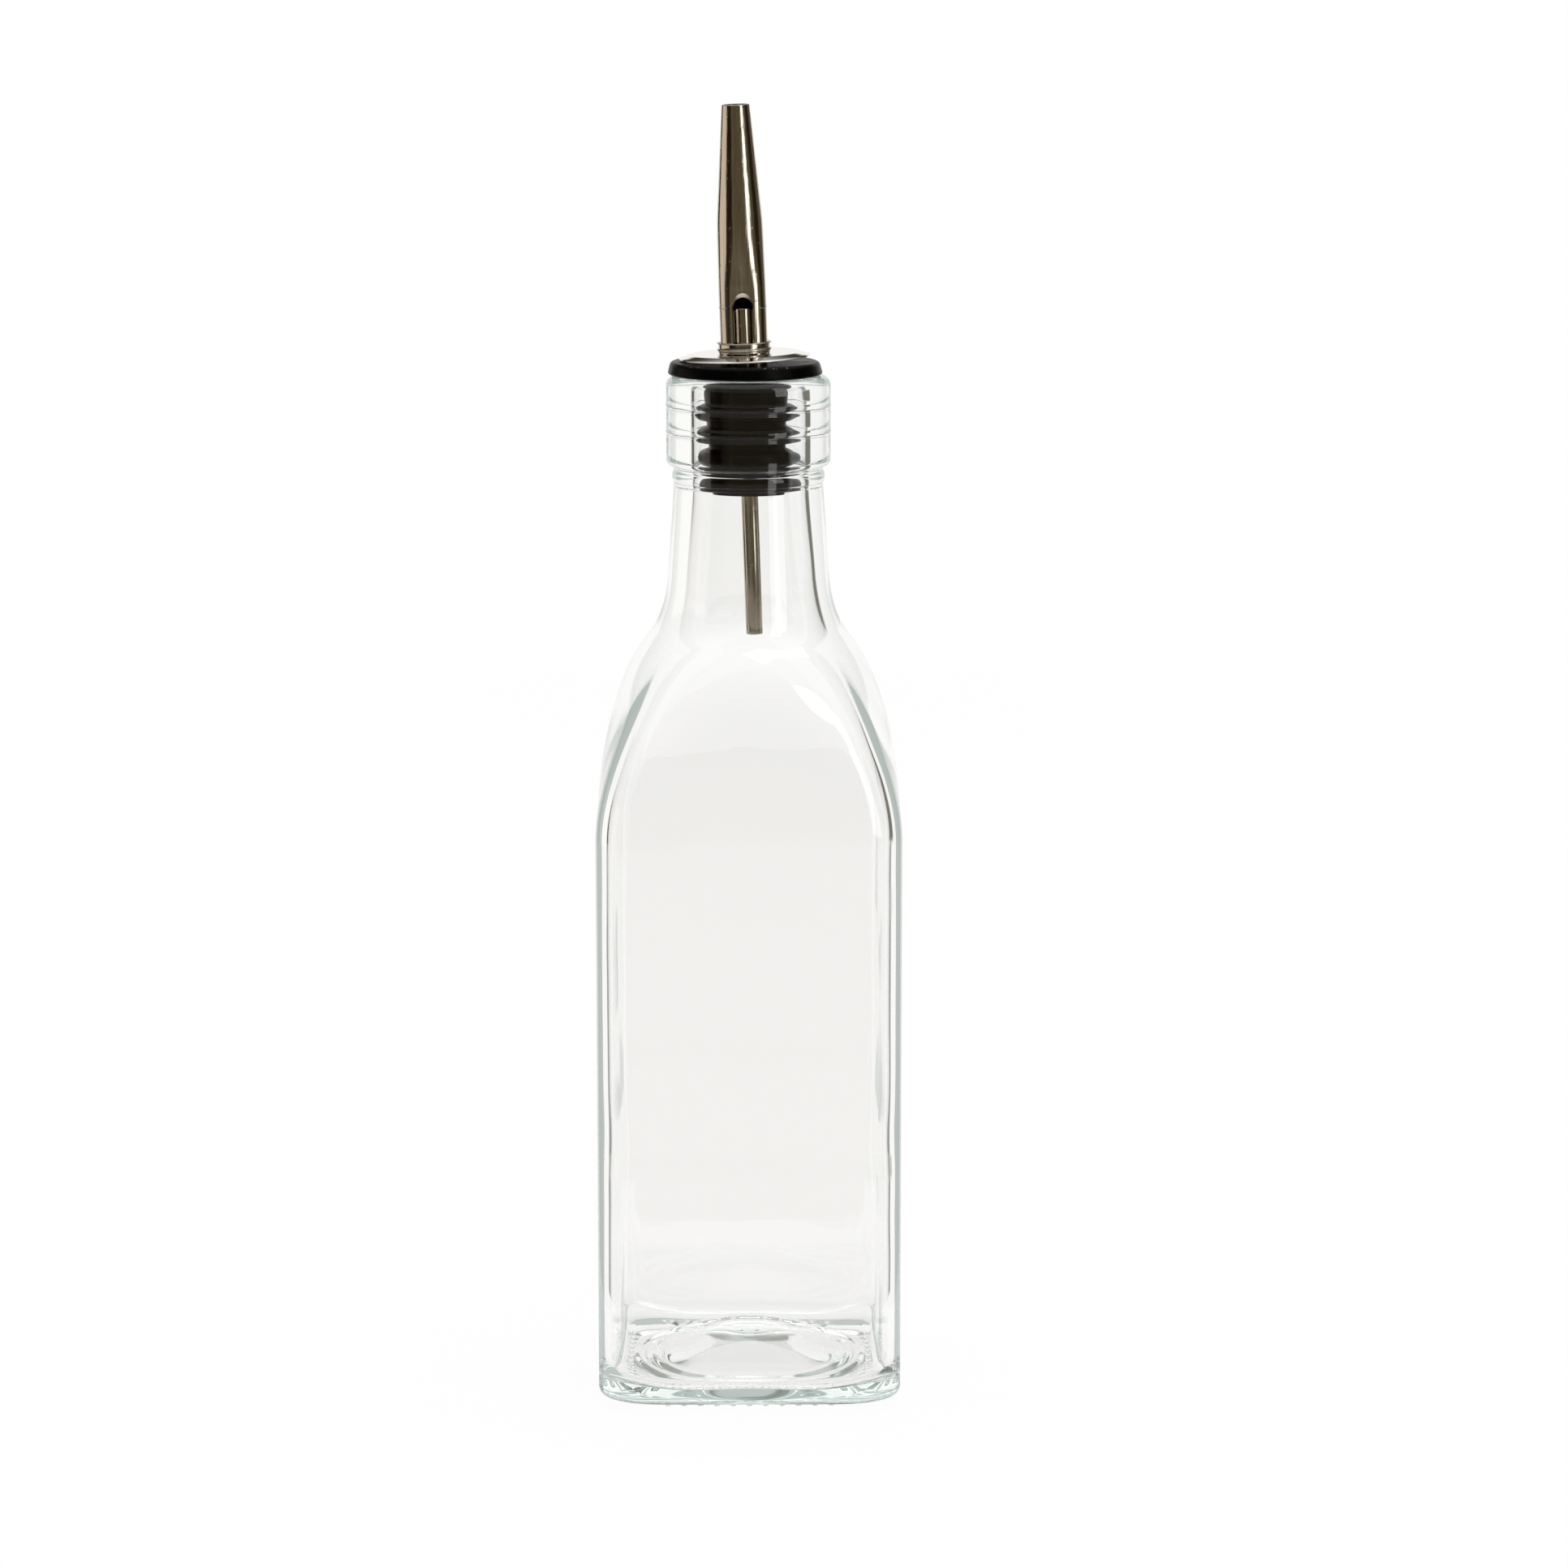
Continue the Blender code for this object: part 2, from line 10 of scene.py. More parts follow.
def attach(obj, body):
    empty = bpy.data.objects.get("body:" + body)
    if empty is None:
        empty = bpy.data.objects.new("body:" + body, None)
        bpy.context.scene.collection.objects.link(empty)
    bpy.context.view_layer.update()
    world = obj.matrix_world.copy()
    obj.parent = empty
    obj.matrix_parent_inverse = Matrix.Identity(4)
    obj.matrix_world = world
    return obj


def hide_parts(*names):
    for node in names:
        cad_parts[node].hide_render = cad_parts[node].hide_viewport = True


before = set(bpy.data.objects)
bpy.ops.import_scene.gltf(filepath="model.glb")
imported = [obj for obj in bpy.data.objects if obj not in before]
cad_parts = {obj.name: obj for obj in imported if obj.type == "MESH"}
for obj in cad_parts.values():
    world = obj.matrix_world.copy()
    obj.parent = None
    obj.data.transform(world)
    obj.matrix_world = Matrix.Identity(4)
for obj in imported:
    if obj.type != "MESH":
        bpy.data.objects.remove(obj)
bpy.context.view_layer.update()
mm = 0.001
print("frame loaded with " + ", ".join(sorted(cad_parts)))


class Wire:  # one socket of a node tree, so that node maths reads as plain sums
    def __init__(self, graph, socket):
        self.graph = graph
        self.socket = socket

    def maths(self, operation, *others):
        values = dict(enumerate((self, *others)))
        return self.graph.add("ShaderNodeMath", {"operation": operation}, values)

    def __add__(self, other):
        return self.maths("ADD", other)

    def __sub__(self, other):
        return self.maths("SUBTRACT", other)

    def __mul__(self, other):
        return self.maths("MULTIPLY", other)

    def __truediv__(self, other):
        return self.maths("DIVIDE", other)

    def __rsub__(self, other):
        return self.graph.add("ShaderNodeMath", {"operation": "SUBTRACT"}, {0: other, 1: self})

    __radd__ = __add__

    def output(self, key):  # another output of the node that this one comes from
        return Wire(self.graph, self.graph.find(self.socket.node.outputs, key))


class Graph:
    def __init__(self, tree):
        self.tree = tree

    def find(self, sockets, key):
        live = [socket for socket in sockets if socket.enabled]
        if isinstance(key, int):
            return live[key]
        named = [socket for socket in live if socket.name == key]
        return named[0] if named else next(socket for socket in sockets if socket.identifier == key)

    def add(self, kind, settings=None, values=None, out=0):
        node = self.tree.nodes.new(kind)
        for key, value in (settings or {}).items():
            setattr(node, key, value)
        for key, value in (values or {}).items():
            socket = self.find(node.inputs, key)
            if isinstance(value, Wire):
                self.tree.links.new(value.socket, socket)
            else:
                socket.default_value = value
        return Wire(self, self.find(node.outputs, out)) if len(node.outputs) else node

    def ease(self, value, low, high):  # 0 at low, 1 at high, smooth between
        places = {"Value": value, "From Min": low, "From Max": high}
        return self.add("ShaderNodeMapRange", {"interpolation_type": "SMOOTHSTEP"}, places)

    def band(self, value, low, high, soft):  # 1 between low and high
        return self.ease(value, low - soft, low + soft) * (1 - self.ease(value, high - soft, high + soft))

    def tint(self, factor, first, second):
        values = {"Factor_Float": factor, "A_Color": first, "B_Color": second}
        return self.add("ShaderNodeMix", {"data_type": "RGBA"}, values, "Result_Color")

    def vector(self, x, y, z):
        return self.add("ShaderNodeCombineXYZ", None, {"X": x, "Y": y, "Z": z})


# Plain mesh and modifier helpers

def place(piece):
    bpy.context.scene.collection.objects.link(piece)
    return piece


def bake(piece):  # the piece with its modifiers gone into a plain mesh
    bpy.context.view_layer.update()
    seen = piece.evaluated_get(bpy.context.evaluated_depsgraph_get())
    mesh = bpy.data.meshes.new_from_object(seen)
    old = piece.data
    piece.modifiers.clear()
    piece.data = mesh
    bpy.data.meshes.remove(old)
    mesh.name = piece.name
    return piece


def newTree(name, inputs):
    tree = bpy.data.node_groups.new(name, "GeometryNodeTree")
    tree.interface.new_socket("Geometry", in_out="INPUT", socket_type="NodeSocketGeometry")
    tree.interface.new_socket("Geometry", in_out="OUTPUT", socket_type="NodeSocketGeometry")
    for key, kind in inputs.items():
        tree.interface.new_socket(key, in_out="INPUT", socket_type="NodeSocket" + kind)
    graph = Graph(tree)
    first = graph.add("NodeGroupInput")
    return graph, {key: first.output(key) for key in ("Geometry", *inputs)}


def endTree(graph, shape, material):
    smooth = graph.add("GeometryNodeSetShadeSmooth", None, {"Geometry": shape})
    real = graph.add("GeometryNodeRealizeInstances", None, {"Geometry": smooth})
    last = graph.add("GeometryNodeSetMaterial", None, {"Geometry": real, "Material": material})
    graph.add("NodeGroupOutput", None, {"Geometry": last})
    return graph.tree


def runTree(piece, tree, values):  # inputs go in by their socket's identifier
    modifier = piece.modifiers.new(tree.name, "NODES")
    modifier.node_group = tree
    for item in tree.interface.items_tree:
        if item.in_out == "INPUT" and item.name in values:
            modifier[item.identifier] = values[item.name]
    return bake(piece)


def cut(piece, *cutters, operation="DIFFERENCE"):
    for cutter in cutters:
        modifier = piece.modifiers.new(cutter.name, "BOOLEAN")
        modifier.operation = operation
        modifier.object = cutter
    bake(piece)
    for cutter in cutters:
        bpy.data.objects.remove(cutter)
    return piece


def finish(piece, material, sharp=None):  # one material, and sharp edges above an angle
    mesh = piece.data
    mesh.materials.clear()
    mesh.materials.append(material)
    mesh.polygons.foreach_set("material_index", [0] * len(mesh.polygons))
    mesh.shade_smooth()
    if sharp:
        mesh.set_sharp_from_angle(angle=math.radians(sharp))
    return piece


def arc(centre, radii, start, end, count):
    steps = [math.radians(start + (end - start) * step / count) for step in range(count + 1)]
    return [(centre[0] + radii[0] * math.cos(a), centre[1] + radii[1] * math.sin(a)) for a in steps]


def dense(points, gap):  # the same line with no stretch longer than the gap
    line = [points[0]]
    for start, end in zip(points, points[1:]):
        count = max(1, math.ceil(math.dist(start, end) / gap))
        line += [
            tuple(a + (b - a) * step / count for a, b in zip(start, end)) for step in range(1, count + 1)
        ]
    return line


def link(start, startWay, end, endWay, count):  # a cubic between two ends, ends left out
    chord = math.dist(start, end)
    pulls = [[chord * part / math.hypot(*way) for part in way] for way in (startWay, endWay)]
    line = []
    for step in range(1, count):
        t = step / count
        weights = (2 * t**3 - 3 * t**2 + 1, t**3 - 2 * t**2 + t, 3 * t**2 - 2 * t**3, t**3 - t**2)
        line.append(tuple(
            sum(weight * part for weight, part in zip(weights, axis))
            for axis in zip(start, pulls[0], end, pulls[1])
        ))
    return line


def eased(share):
    share = min(max(share, 0.0), 1.0)
    return share * share * (3 - 2 * share)


# Skin: every lofted or turned piece is a grid of rings. A line of points gives each ring its half width
# and height, and the square ones also their corner and how far they have turned into a circle. Ripple
# makes the surface uneven, wave lifts it at the middle of each side, and ridge moves one soft line of it
# towards the axis.

ringValues = ("halfWidth", "height", "corner", "roundness", "ripple", "wave", "ridge")


def buildSkinTree():
    graph, given = newTree("ringSkin", {
        "Segments": "Int", "Ripple Scale": "Float", "Ripple Seed": "Float", "Ridge Turn": "Float",
        "Ridge Power": "Float", "Ridge Sway": "Float", "Weld": "Float", "Material": "Material",
    })
    line = given["Geometry"]
    count = graph.add(
        "GeometryNodeAttributeDomainSize", {"component": "MESH"}, {"Geometry": line}, "Point Count")
    size = {"Vertices X": given["Segments"] + 1, "Vertices Y": count}
    grid = graph.add("GeometryNodeMeshGrid", None, size, "Mesh")
    index = graph.add("GeometryNodeInputIndex")
    row = index.maths("FLOORED_MODULO", count)
    turn = (index - row) / count / given["Segments"] * math.tau
    ring = {}
    for name in ringValues:
        field = graph.add("GeometryNodeInputNamedAttribute", {"data_type": "FLOAT"}, {"Name": name})
        values = {"Geometry": line, "Value": field, "Index": row}
        settings = {"data_type": "FLOAT", "domain": "POINT"}
        ring[name] = graph.add("GeometryNodeSampleIndex", settings, values)
    cosine = turn.maths("COSINE")
    sine = turn.maths("SINE")
    far = cosine.maths("ABSOLUTE").maths("MAXIMUM", sine.maths("ABSOLUTE"))
    near = cosine.maths("ABSOLUTE").maths("MINIMUM", sine.maths("ABSOLUTE"))
    side = ring["halfWidth"] - ring["corner"]
    flat = ring["halfWidth"] / far
    spare = ring["corner"] * ring["corner"] - side * side * (far - near) * (far - near)
    bend = side * (far + near) + spare.maths("MAXIMUM", 0.0).maths("SQRT")
    square = flat + (flat * near).maths("GREATER_THAN", side) * (bend - flat)
    radius = square + ring["roundness"] * (ring["halfWidth"] - square)
    height = ring["height"] + ring["wave"] * (turn * 4).maths("COSINE")
    where = graph.vector(radius * cosine, radius * sine, height + given["Ripple Seed"])
    noise = {"Vector": where, "Scale": given["Ripple Scale"], "Detail": 1.0}
    swell = graph.add("ShaderNodeTexNoise", None, noise, "Fac") * 2 - 1
    off = turn - given["Ridge Turn"] + swell * given["Ridge Sway"]
    ridge = off.maths("COSINE").maths("MAXIMUM", 0.0)
    radius = radius + swell * ring["ripple"] - ridge.maths("POWER", given["Ridge Power"]) * ring["ridge"]
    spot = graph.vector(radius * cosine, radius * sine, height + swell * ring["ripple"])
    moved = graph.add("GeometryNodeSetPosition", None, {"Geometry": grid, "Position": spot})
    values = {"Geometry": moved, "Distance": given["Weld"]}
    welded = graph.add("GeometryNodeMergeByDistance", None, values)
    return endTree(graph, welded, given["Material"])


skinTree = buildSkinTree()


def skin(name, rings, material, segments, ripple=(60.0, 0.0), ridge=(0.0, 1.0, 0.0)):
    # ripple is its scale per metre and its seed, ridge its place in degrees, its sharpness and its sway
    mesh = bpy.data.meshes.new(name)
    mesh.from_pydata([(ring[0] * mm, 0, ring[1] * mm) for ring in rings], [
        (step, step + 1) for step in range(len(rings) - 1)], [])
    for column, key in enumerate(ringValues):
        scale = 1.0 if key == "roundness" else mm
        values = [ring[column] * scale if column < len(ring) else 0.0 for ring in rings]
        mesh.attributes.new(key, "FLOAT", "POINT").data.foreach_set("value", values)
    piece = place(bpy.data.objects.new(name, mesh))
    values = {
        "Segments": segments, "Ripple Scale": ripple[0], "Ripple Seed": ripple[1], "Weld": 0.000002,
        "Ridge Turn": math.radians(ridge[0]), "Ridge Power": ridge[1], "Ridge Sway": ridge[2],
    }
    return runTree(piece, skinTree, values | {"Material": material})


def turned(name, outline, material, segments):  # an outline from the low middle up the outer side
    return skin(name, [(x, z, 0.0, 1.0, 0.0, 0.0) for x, z in outline], material, segments)


# Materials: scales of noise are per metre

def newMaterial(name):
    made = bpy.data.materials.new(name)
    made.use_nodes = True
    made.node_tree.nodes.clear()
    return made, Graph(made.node_tree)


def noise(graph, spot, scale, detail):
    values = {"Vector": spot, "Scale": scale, "Detail": detail}
    return graph.add("ShaderNodeTexNoise", None, values, "Fac")


def glassMaterial():
    look = {
        "colour": (0.80, 0.93, 0.90, 1.0), "depth": 9.0, "ior": 1.5,  # depth of tint per metre
        "trappedGlow": (0.26, 0.28, 0.27, 1.0), "turns": 4,  # painted glow: an emitted colour where light stays inside the wall, standing in for light trapped there
        "heelDark": (0.035, 0.033, 0.022, 1.0), "heelHeight": (3.0, 5.0),  # painted shade: the same glow dimmed in patches low in the heel
        "patchScale": 70.0, "patches": (0.5, 0.58),
        "mouldShade": (0.06, 0.07, 0.065, 1.0), "mouldHalf": (0.04, 0.1),  # painted shade: thin dark lines round the ring, where the mould ridges bend light
        "driftScale": 90.0, "drift": 1.2,
    }
    made, graph = newMaterial("clearGlass")
    turns = graph.add("ShaderNodeLightPath", None, None, "Glossy Depth")
    trapped = turns.maths("GREATER_THAN", look["turns"] - 0.5)
    spot = graph.add("ShaderNodeTexCoord", None, None, "Object")
    x = graph.add("ShaderNodeSeparateXYZ", None, {"Vector": spot}, "X")
    y, z = x.output("Y"), x.output("Z")
    drift = noise(graph, spot, look["driftScale"], 2.0) - 0.5
    outside = (x * x + y * y).maths("SQRT").maths("GREATER_THAN", (bottle["ring"] - 0.5) * mm)
    # painted shade: the glass's colour is darkened in thin lines at the mould ridges
    lines = 0.0
    for above in bottle["mouldLines"]:
        off = (z - (neckHeights(bottle)[2] + above) * mm + drift * (look["drift"] * mm)).maths("ABSOLUTE")
        lines = lines + (1 - graph.ease(off, *[edge * mm for edge in look["mouldHalf"]]))
    colour = graph.tint(lines * outside, (1.0, 1.0, 1.0, 1.0), look["mouldShade"])
    # painted shade: patches low in the heel get a dimmer glow
    patches = graph.ease(noise(graph, spot, look["patchScale"], 1.0), *look["patches"])
    low = 1 - graph.ease(z, *[height * mm for height in look["heelHeight"]])
    trappedGlow = graph.tint(patches * low, look["trappedGlow"], look["heelDark"])
    # painted glow: the glass emits this colour only on paths trapped in its wall
    surface = graph.add("ShaderNodeBsdfPrincipled", None, {
        "Base Color": colour, "Roughness": 0.0, "IOR": look["ior"], "Transmission Weight": 1.0,
        "Emission Color": graph.tint(trapped, (0.0, 0.0, 0.0, 1.0), trappedGlow), "Emission Strength": 1.0,
    })
    tinted = {"Color": look["colour"], "Density": look["depth"]}
    inside = graph.add("ShaderNodeVolumeAbsorption", None, tinted)
    graph.add("ShaderNodeOutputMaterial", None, {"Surface": surface, "Volume": inside})
    return made


wear = {"specks": 900.0, "shown": (0.66, 0.74), "rough": 0.12, "height": 0.5, "deep": 0.04}


def steelMaterial(name, look, grain):
    # grain gives how fine the polishing marks are across X, Y and Z, per metre
    made, graph = newMaterial(name)
    spot = graph.add("ShaderNodeTexCoord", None, None, "Object")
    stretched = graph.add("ShaderNodeMapping", None, {"Vector": spot, "Scale": grain})
    marks = noise(graph, stretched, 1.0, 3.0)
    worn = graph.ease(noise(graph, spot, wear["specks"], 2.0), *wear["shown"])
    colour = graph.tint(marks, look["dark"], look["light"])
    roughness = look["roughness"] + (marks - 0.5) * look["grain"] + worn * wear["rough"]
    bump = graph.add("ShaderNodeBump", None, {
        "Strength": look["bump"], "Distance": wear["deep"] * mm, "Height": marks + worn * wear["height"],
    })
    surface = graph.add("ShaderNodeBsdfPrincipled", None, {
        "Base Color": colour, "Metallic": 1.0, "Roughness": roughness, "Normal": bump,
    })
    graph.add("ShaderNodeOutputMaterial", None, {"Surface": surface})
    return made


def rubberMaterial():
    look = {
        "dark": (0.0015, 0.0015, 0.0014, 1.0), "dusty": (0.005, 0.004, 0.003, 1.0), "roughness": 0.3,
        "cloudScale": 220.0, "grainScale": 2600.0, "dust": (0.52, 0.72), "specular": 0.06,
        "bump": 0.5, "deep": 0.05, "dustRough": 0.16, "grainRough": 0.1,
        "speck": (0.2, 0.16, 0.12, 1.0), "speckScale": 1700.0, "specks": (0.82, 0.86),
        "speckHeight": (2.2, 2.7),  # dust lies on the flange, this far above the mouth
    }
    made, graph = newMaterial("blackRubber")
    spot = graph.add("ShaderNodeTexCoord", None, None, "Object")
    cloud = noise(graph, spot, look["cloudScale"], 4.0)
    grain = noise(graph, spot, look["grainScale"], 2.0)
    dust = graph.ease(cloud, *look["dust"])
    bump = graph.add("ShaderNodeBump", None, {
        "Strength": look["bump"], "Distance": look["deep"] * mm, "Height": grain + cloud * 2,
    })
    z = graph.add("ShaderNodeSeparateXYZ", None, {"Vector": spot}, "Z")
    fine = noise(graph, spot, look["speckScale"], 2.0)
    upper = graph.ease(z, *[(mouthHeight + height) * mm for height in look["speckHeight"]])
    speck = graph.ease(fine + cloud * 0.3, *look["specks"]) * upper
    roughness = look["roughness"] + dust * look["dustRough"] + (grain - 0.5) * look["grainRough"]
    surface = graph.add("ShaderNodeBsdfPrincipled", None, {
        "Base Color": graph.tint(speck, graph.tint(dust, look["dark"], look["dusty"]), look["speck"]),
        "Roughness": roughness, "Normal": bump, "Specular IOR Level": look["specular"],
    })
    graph.add("ShaderNodeOutputMaterial", None, {"Surface": surface})
    return made


spoutLook = {
    "dark": (0.44, 0.39, 0.32, 1.0), "light": (0.76, 0.71, 0.62, 1.0),
    "roughness": 0.14, "grain": 0.14, "bump": 0.5,
}
# painted sheen: the washer's steel is painted much lighter than the spout's, so its top shows white
discSheenLook = {
    "dark": (0.84, 0.83, 0.80, 1.0), "light": (0.93, 0.92, 0.90, 1.0),
    "roughness": 0.06, "grain": 0.04, "bump": 0.08,
}
tubeLook = {
    "dark": (0.46, 0.41, 0.33, 1.0), "light": (0.64, 0.59, 0.50, 1.0),
    "roughness": 0.13, "grain": 0.10, "bump": 0.3,
}
# painted highlight: the satin cut edge round the arch is painted lighter and pinker than the steel, so it
# shows as a pale lip
lipSheenLook = {
    "dark": (0.80, 0.70, 0.62, 1.0), "light": (0.92, 0.82, 0.74, 1.0),
    "roughness": 0.3, "grain": 0.15, "bump": 0.2,
}
# painted shade: near-black steel for the inside of the bore and the groove
boreShadeLook = {
    "dark": (0.012, 0.010, 0.008, 1.0), "light": (0.03, 0.025, 0.02, 1.0),
    "roughness": 0.5, "grain": 0.2, "bump": 0.3,
}
spoutSteel = steelMaterial("drawnSteel", spoutLook, (3200.0, 3200.0, 26.0))
discSheenSteel = steelMaterial("spunSheenSteel", discSheenLook, (500.0, 500.0, 9000.0))
tubeSteel = steelMaterial("tubeSteel", tubeLook, (3600.0, 3600.0, 60.0))
lipSheenSteel = steelMaterial("lipSheen", lipSheenLook, (900.0, 900.0, 900.0))
boreShadeSteel = steelMaterial("boreShade", boreShadeLook, (900.0, 900.0, 900.0))
print("steels made")


# Bottle

bottle = {
    "width": 60.0, "corner": 7.6, "wall": 2.4, "straight": 114.0, "heel": 4.0, "bearing": 2.5,
    "shoulderRise": 44.0, "shoulderThickening": 2.9, "shoulderShare": 2 / 3,
    "filletHeight": 12.0, "filletWidth": 3.85, "innerFillet": 4.8, "roundBelow": 7.0,
    "bore": 10.75, "boreEdge": 1.2,
    "neckTop": 14.7, "neckFoot": 15.9, "neckFootWall": 3.6, "neckHeight": 18.1,
    "beadHeight": 2.2, "beadProud": 0.35, "throat": 1.0,
    "ring": 16.2, "ringHeight": 17.6, "ringEdge": 1.2, "ringUndercut": 0.25, "lip": 1.8,
    "mouldLines": (6.8, 11.9), "mouldProud": 0.1, "mouldWidth": 0.12,
    "pushUp": 3.5, "pushUpCorner": 20.5, "floor": 3.2, "floorDrop": 2.9,
    "innerHeel": 3.4, "innerHeelCorner": 23.4, "floorWave": 0.35,
    "floorRings": ((22.4, 0.5, 0.8), (19.2, 0.35, 0.8)),  # round swells: radius, height, half width
    "ridge": 0.14, "ridgeAt": (-41.0, 60.0, 0.06),  # a soft ridge in the bore: place, sharpness and sway
    "ridgeLow": (8.0, 12.0), "ridgeHigh": (3.0, 4.0),  # from the neck's foot and the mouth, and over what
    "settleHeight": 54.6, "settleLength": 6.0, "settleDepth": 0.28,  # a swell where the glass settled
    "ripple": 0.16, "rippleAt": (55.0, 0.37), "rippleEnd": (4.0, 30.0),  # it fades out up the neck
    "stand": 1.0, "segments": 240,
}


def shoulderArc(b, half, endRadius, rise, count):
    end = 90 * b["shoulderShare"]
    draw = (half - endRadius) / (1 - math.cos(math.radians(end)))
    way = (-draw * math.sin(math.radians(end)), rise * math.cos(math.radians(end)))
    return arc((half - draw, b["straight"]), (draw, rise), 0, end, count), way


def neckHeights(b):
    rise = b["shoulderRise"] * math.sin(math.radians(90 * b["shoulderShare"]))
    foot = b["straight"] + rise + b["filletHeight"]
    top = foot + b["neckHeight"]
    ringFoot = top + b["beadHeight"] + b["throat"]
    return foot, top, ringFoot, ringFoot + b["ringHeight"]


def turning(b, z):  # how far the square has turned into a circle at a height
    return eased((z - b["straight"]) / (neckHeights(b)[0] - b["roundBelow"] - b["straight"]))


def outerRings(b):
    half = b["width"] / 2
    foot, top, ringFoot, mouth = neckHeights(b)
    recess = half - b["heel"] - b["bearing"]
    rings = []
    steps = 20
    for step in range(steps + 1):
        share = step / steps
        z = b["stand"] + b["pushUp"] * (1 - eased(share))
        rings.append((recess * share, z, b["pushUpCorner"] * share, 0.5 * (1 - eased(share)), 0.0, 0.0))
    heel = arc((half - b["heel"], b["heel"]), (b["heel"], b["heel"] - b["stand"]), -90, 0, 16)
    for x, z in heel:
        share = (x - half + b["heel"]) / b["heel"]
        corner = b["pushUpCorner"] + (b["corner"] - b["pushUpCorner"]) * eased(share) - half + x
        rings.append((x, z, min(corner, b["corner"] - half + x + 8 * (1 - eased(share))), 0.0, 0.0, 0.0))
    shoulder, way = shoulderArc(b, half, b["neckFoot"] + b["filletWidth"], b["shoulderRise"], 36)
    neckWay = (b["neckTop"] - b["neckFoot"], b["neckHeight"])
    neckLow = (b["neckFoot"], foot)
    wall = dense([heel[-1], shoulder[0]], 5.0)[1:-1]
    wall += shoulder + link(shoulder[-1], way, neckLow, neckWay, 18)
    wall += dense([neckLow, (b["neckTop"], top)], 1.5)[:-1]
    rings += [(x, z, b["corner"], turning(b, z), 0.0, 0.0) for x, z in wall]
    bead, edge = b["beadHeight"] / 2, b["ringEdge"]
    line = arc((b["neckTop"], top + bead), (b["beadProud"], bead), -90, 90, 12)
    line.append((b["neckTop"], ringFoot - b["ringUndercut"]))
    line += arc((b["ring"] - edge, ringFoot + edge), (edge, edge), -90, 0, 10)
    for above in b["mouldLines"]:
        for side, proud in ((-1, 0), (-0.5, 0.5), (0, 1), (0.5, 0.5), (1, 0)):
            line.append((b["ring"] + proud * b["mouldProud"], ringFoot + above + side * b["mouldWidth"]))
    line += arc((b["ring"] - b["lip"], mouth - b["lip"]), (b["lip"], b["lip"]), 0, 90, 12)
    return rings + [(x, z, x, 1.0, 0.0, 0.0) for x, z in dense(line, 1.2)]


def innerRings(b):
    half = b["width"] / 2 - b["wall"]
    foot, top, _, mouth = neckHeights(b)
    edge = b["boreEdge"]
    line = arc((b["bore"] + edge, mouth - edge), (edge, edge), 90, 180, 8)
    boreFoot = (b["bore"], top)
    neckLow = (b["neckFoot"] - b["neckFootWall"], foot)
    taper = (neckLow[0] - boreFoot[0], neckLow[1] - boreFoot[1])
    shoulder, way = shoulderArc(
        b, half, neckLow[0] + b["innerFillet"], b["shoulderRise"] - b["shoulderThickening"], 32)
    line += dense([line[-1], boreFoot], 1.6)[1:]
    line += link(boreFoot, (0.0, -1.0), neckLow, taper, 14) + [neckLow]
    line += link(neckLow, taper, shoulder[-1], (-way[0], -way[1]), 18) + shoulder[::-1]
    floor = b["pushUp"] + b["floor"]
    edgeFloor = floor - b["floorDrop"]
    last, turn = b["innerHeelCorner"], b["innerHeel"]
    heelSteps, floorSteps = 16, 48
    heel = arc((half - turn, edgeFloor + turn), (turn, turn), 0, -90, heelSteps)
    line += dense([line[-1], heel[0]], 3.2)[1:]
    corner = b["corner"] - b["wall"]
    (start, starting), (stop, stopping), (fade, fading) = b["ridgeLow"], b["ridgeHigh"], b["rippleEnd"]
    rings = []
    for x, z in line:
        settle = b["settleDepth"] * math.exp(-((z - b["settleHeight"]) / b["settleLength"]) ** 2)
        ripple = b["ripple"] * eased((top + fade - z) / fading)
        ridge = b["ridge"] * eased((z - foot + start) / starting) * eased((mouth - stop - z) / stopping)
        rings.append((x - settle, z, corner, turning(b, z), ripple, 0.0, ridge))
    for step, (x, z) in enumerate(heel[1:], 1):
        share = step / heelSteps
        wave = b["floorWave"] * eased(share)
        rings.append((x, z, corner + (last - corner) * share, 0.0, b["ripple"], wave))
    for step in range(floorSteps - 1, -1, -1):
        share = step / floorSteps
        z = edgeFloor + (floor - edgeFloor) * (1 - eased(share ** 1.5))
        x = (half - turn) * share
        z += sum(high * math.exp(-((x - radius) / wide) ** 2) for radius, high, wide in b["floorRings"])
        ripple, wave = b["ripple"] * eased(share * 2), b["floorWave"] * eased(share)
        rings.append((x, z, last * share, 0.5 * (1 - eased(share)), ripple, wave))
    return rings


# Knurls: rows of small cushions along the four sides of the bearing edge, which the bottle stands on

knurls = {
    "count": 11, "pitch": 3.25, "out": 24.75, "length": 1.9, "width": 1.5, "height": 1.6,
    "segments": 14, "rings": 8,
}


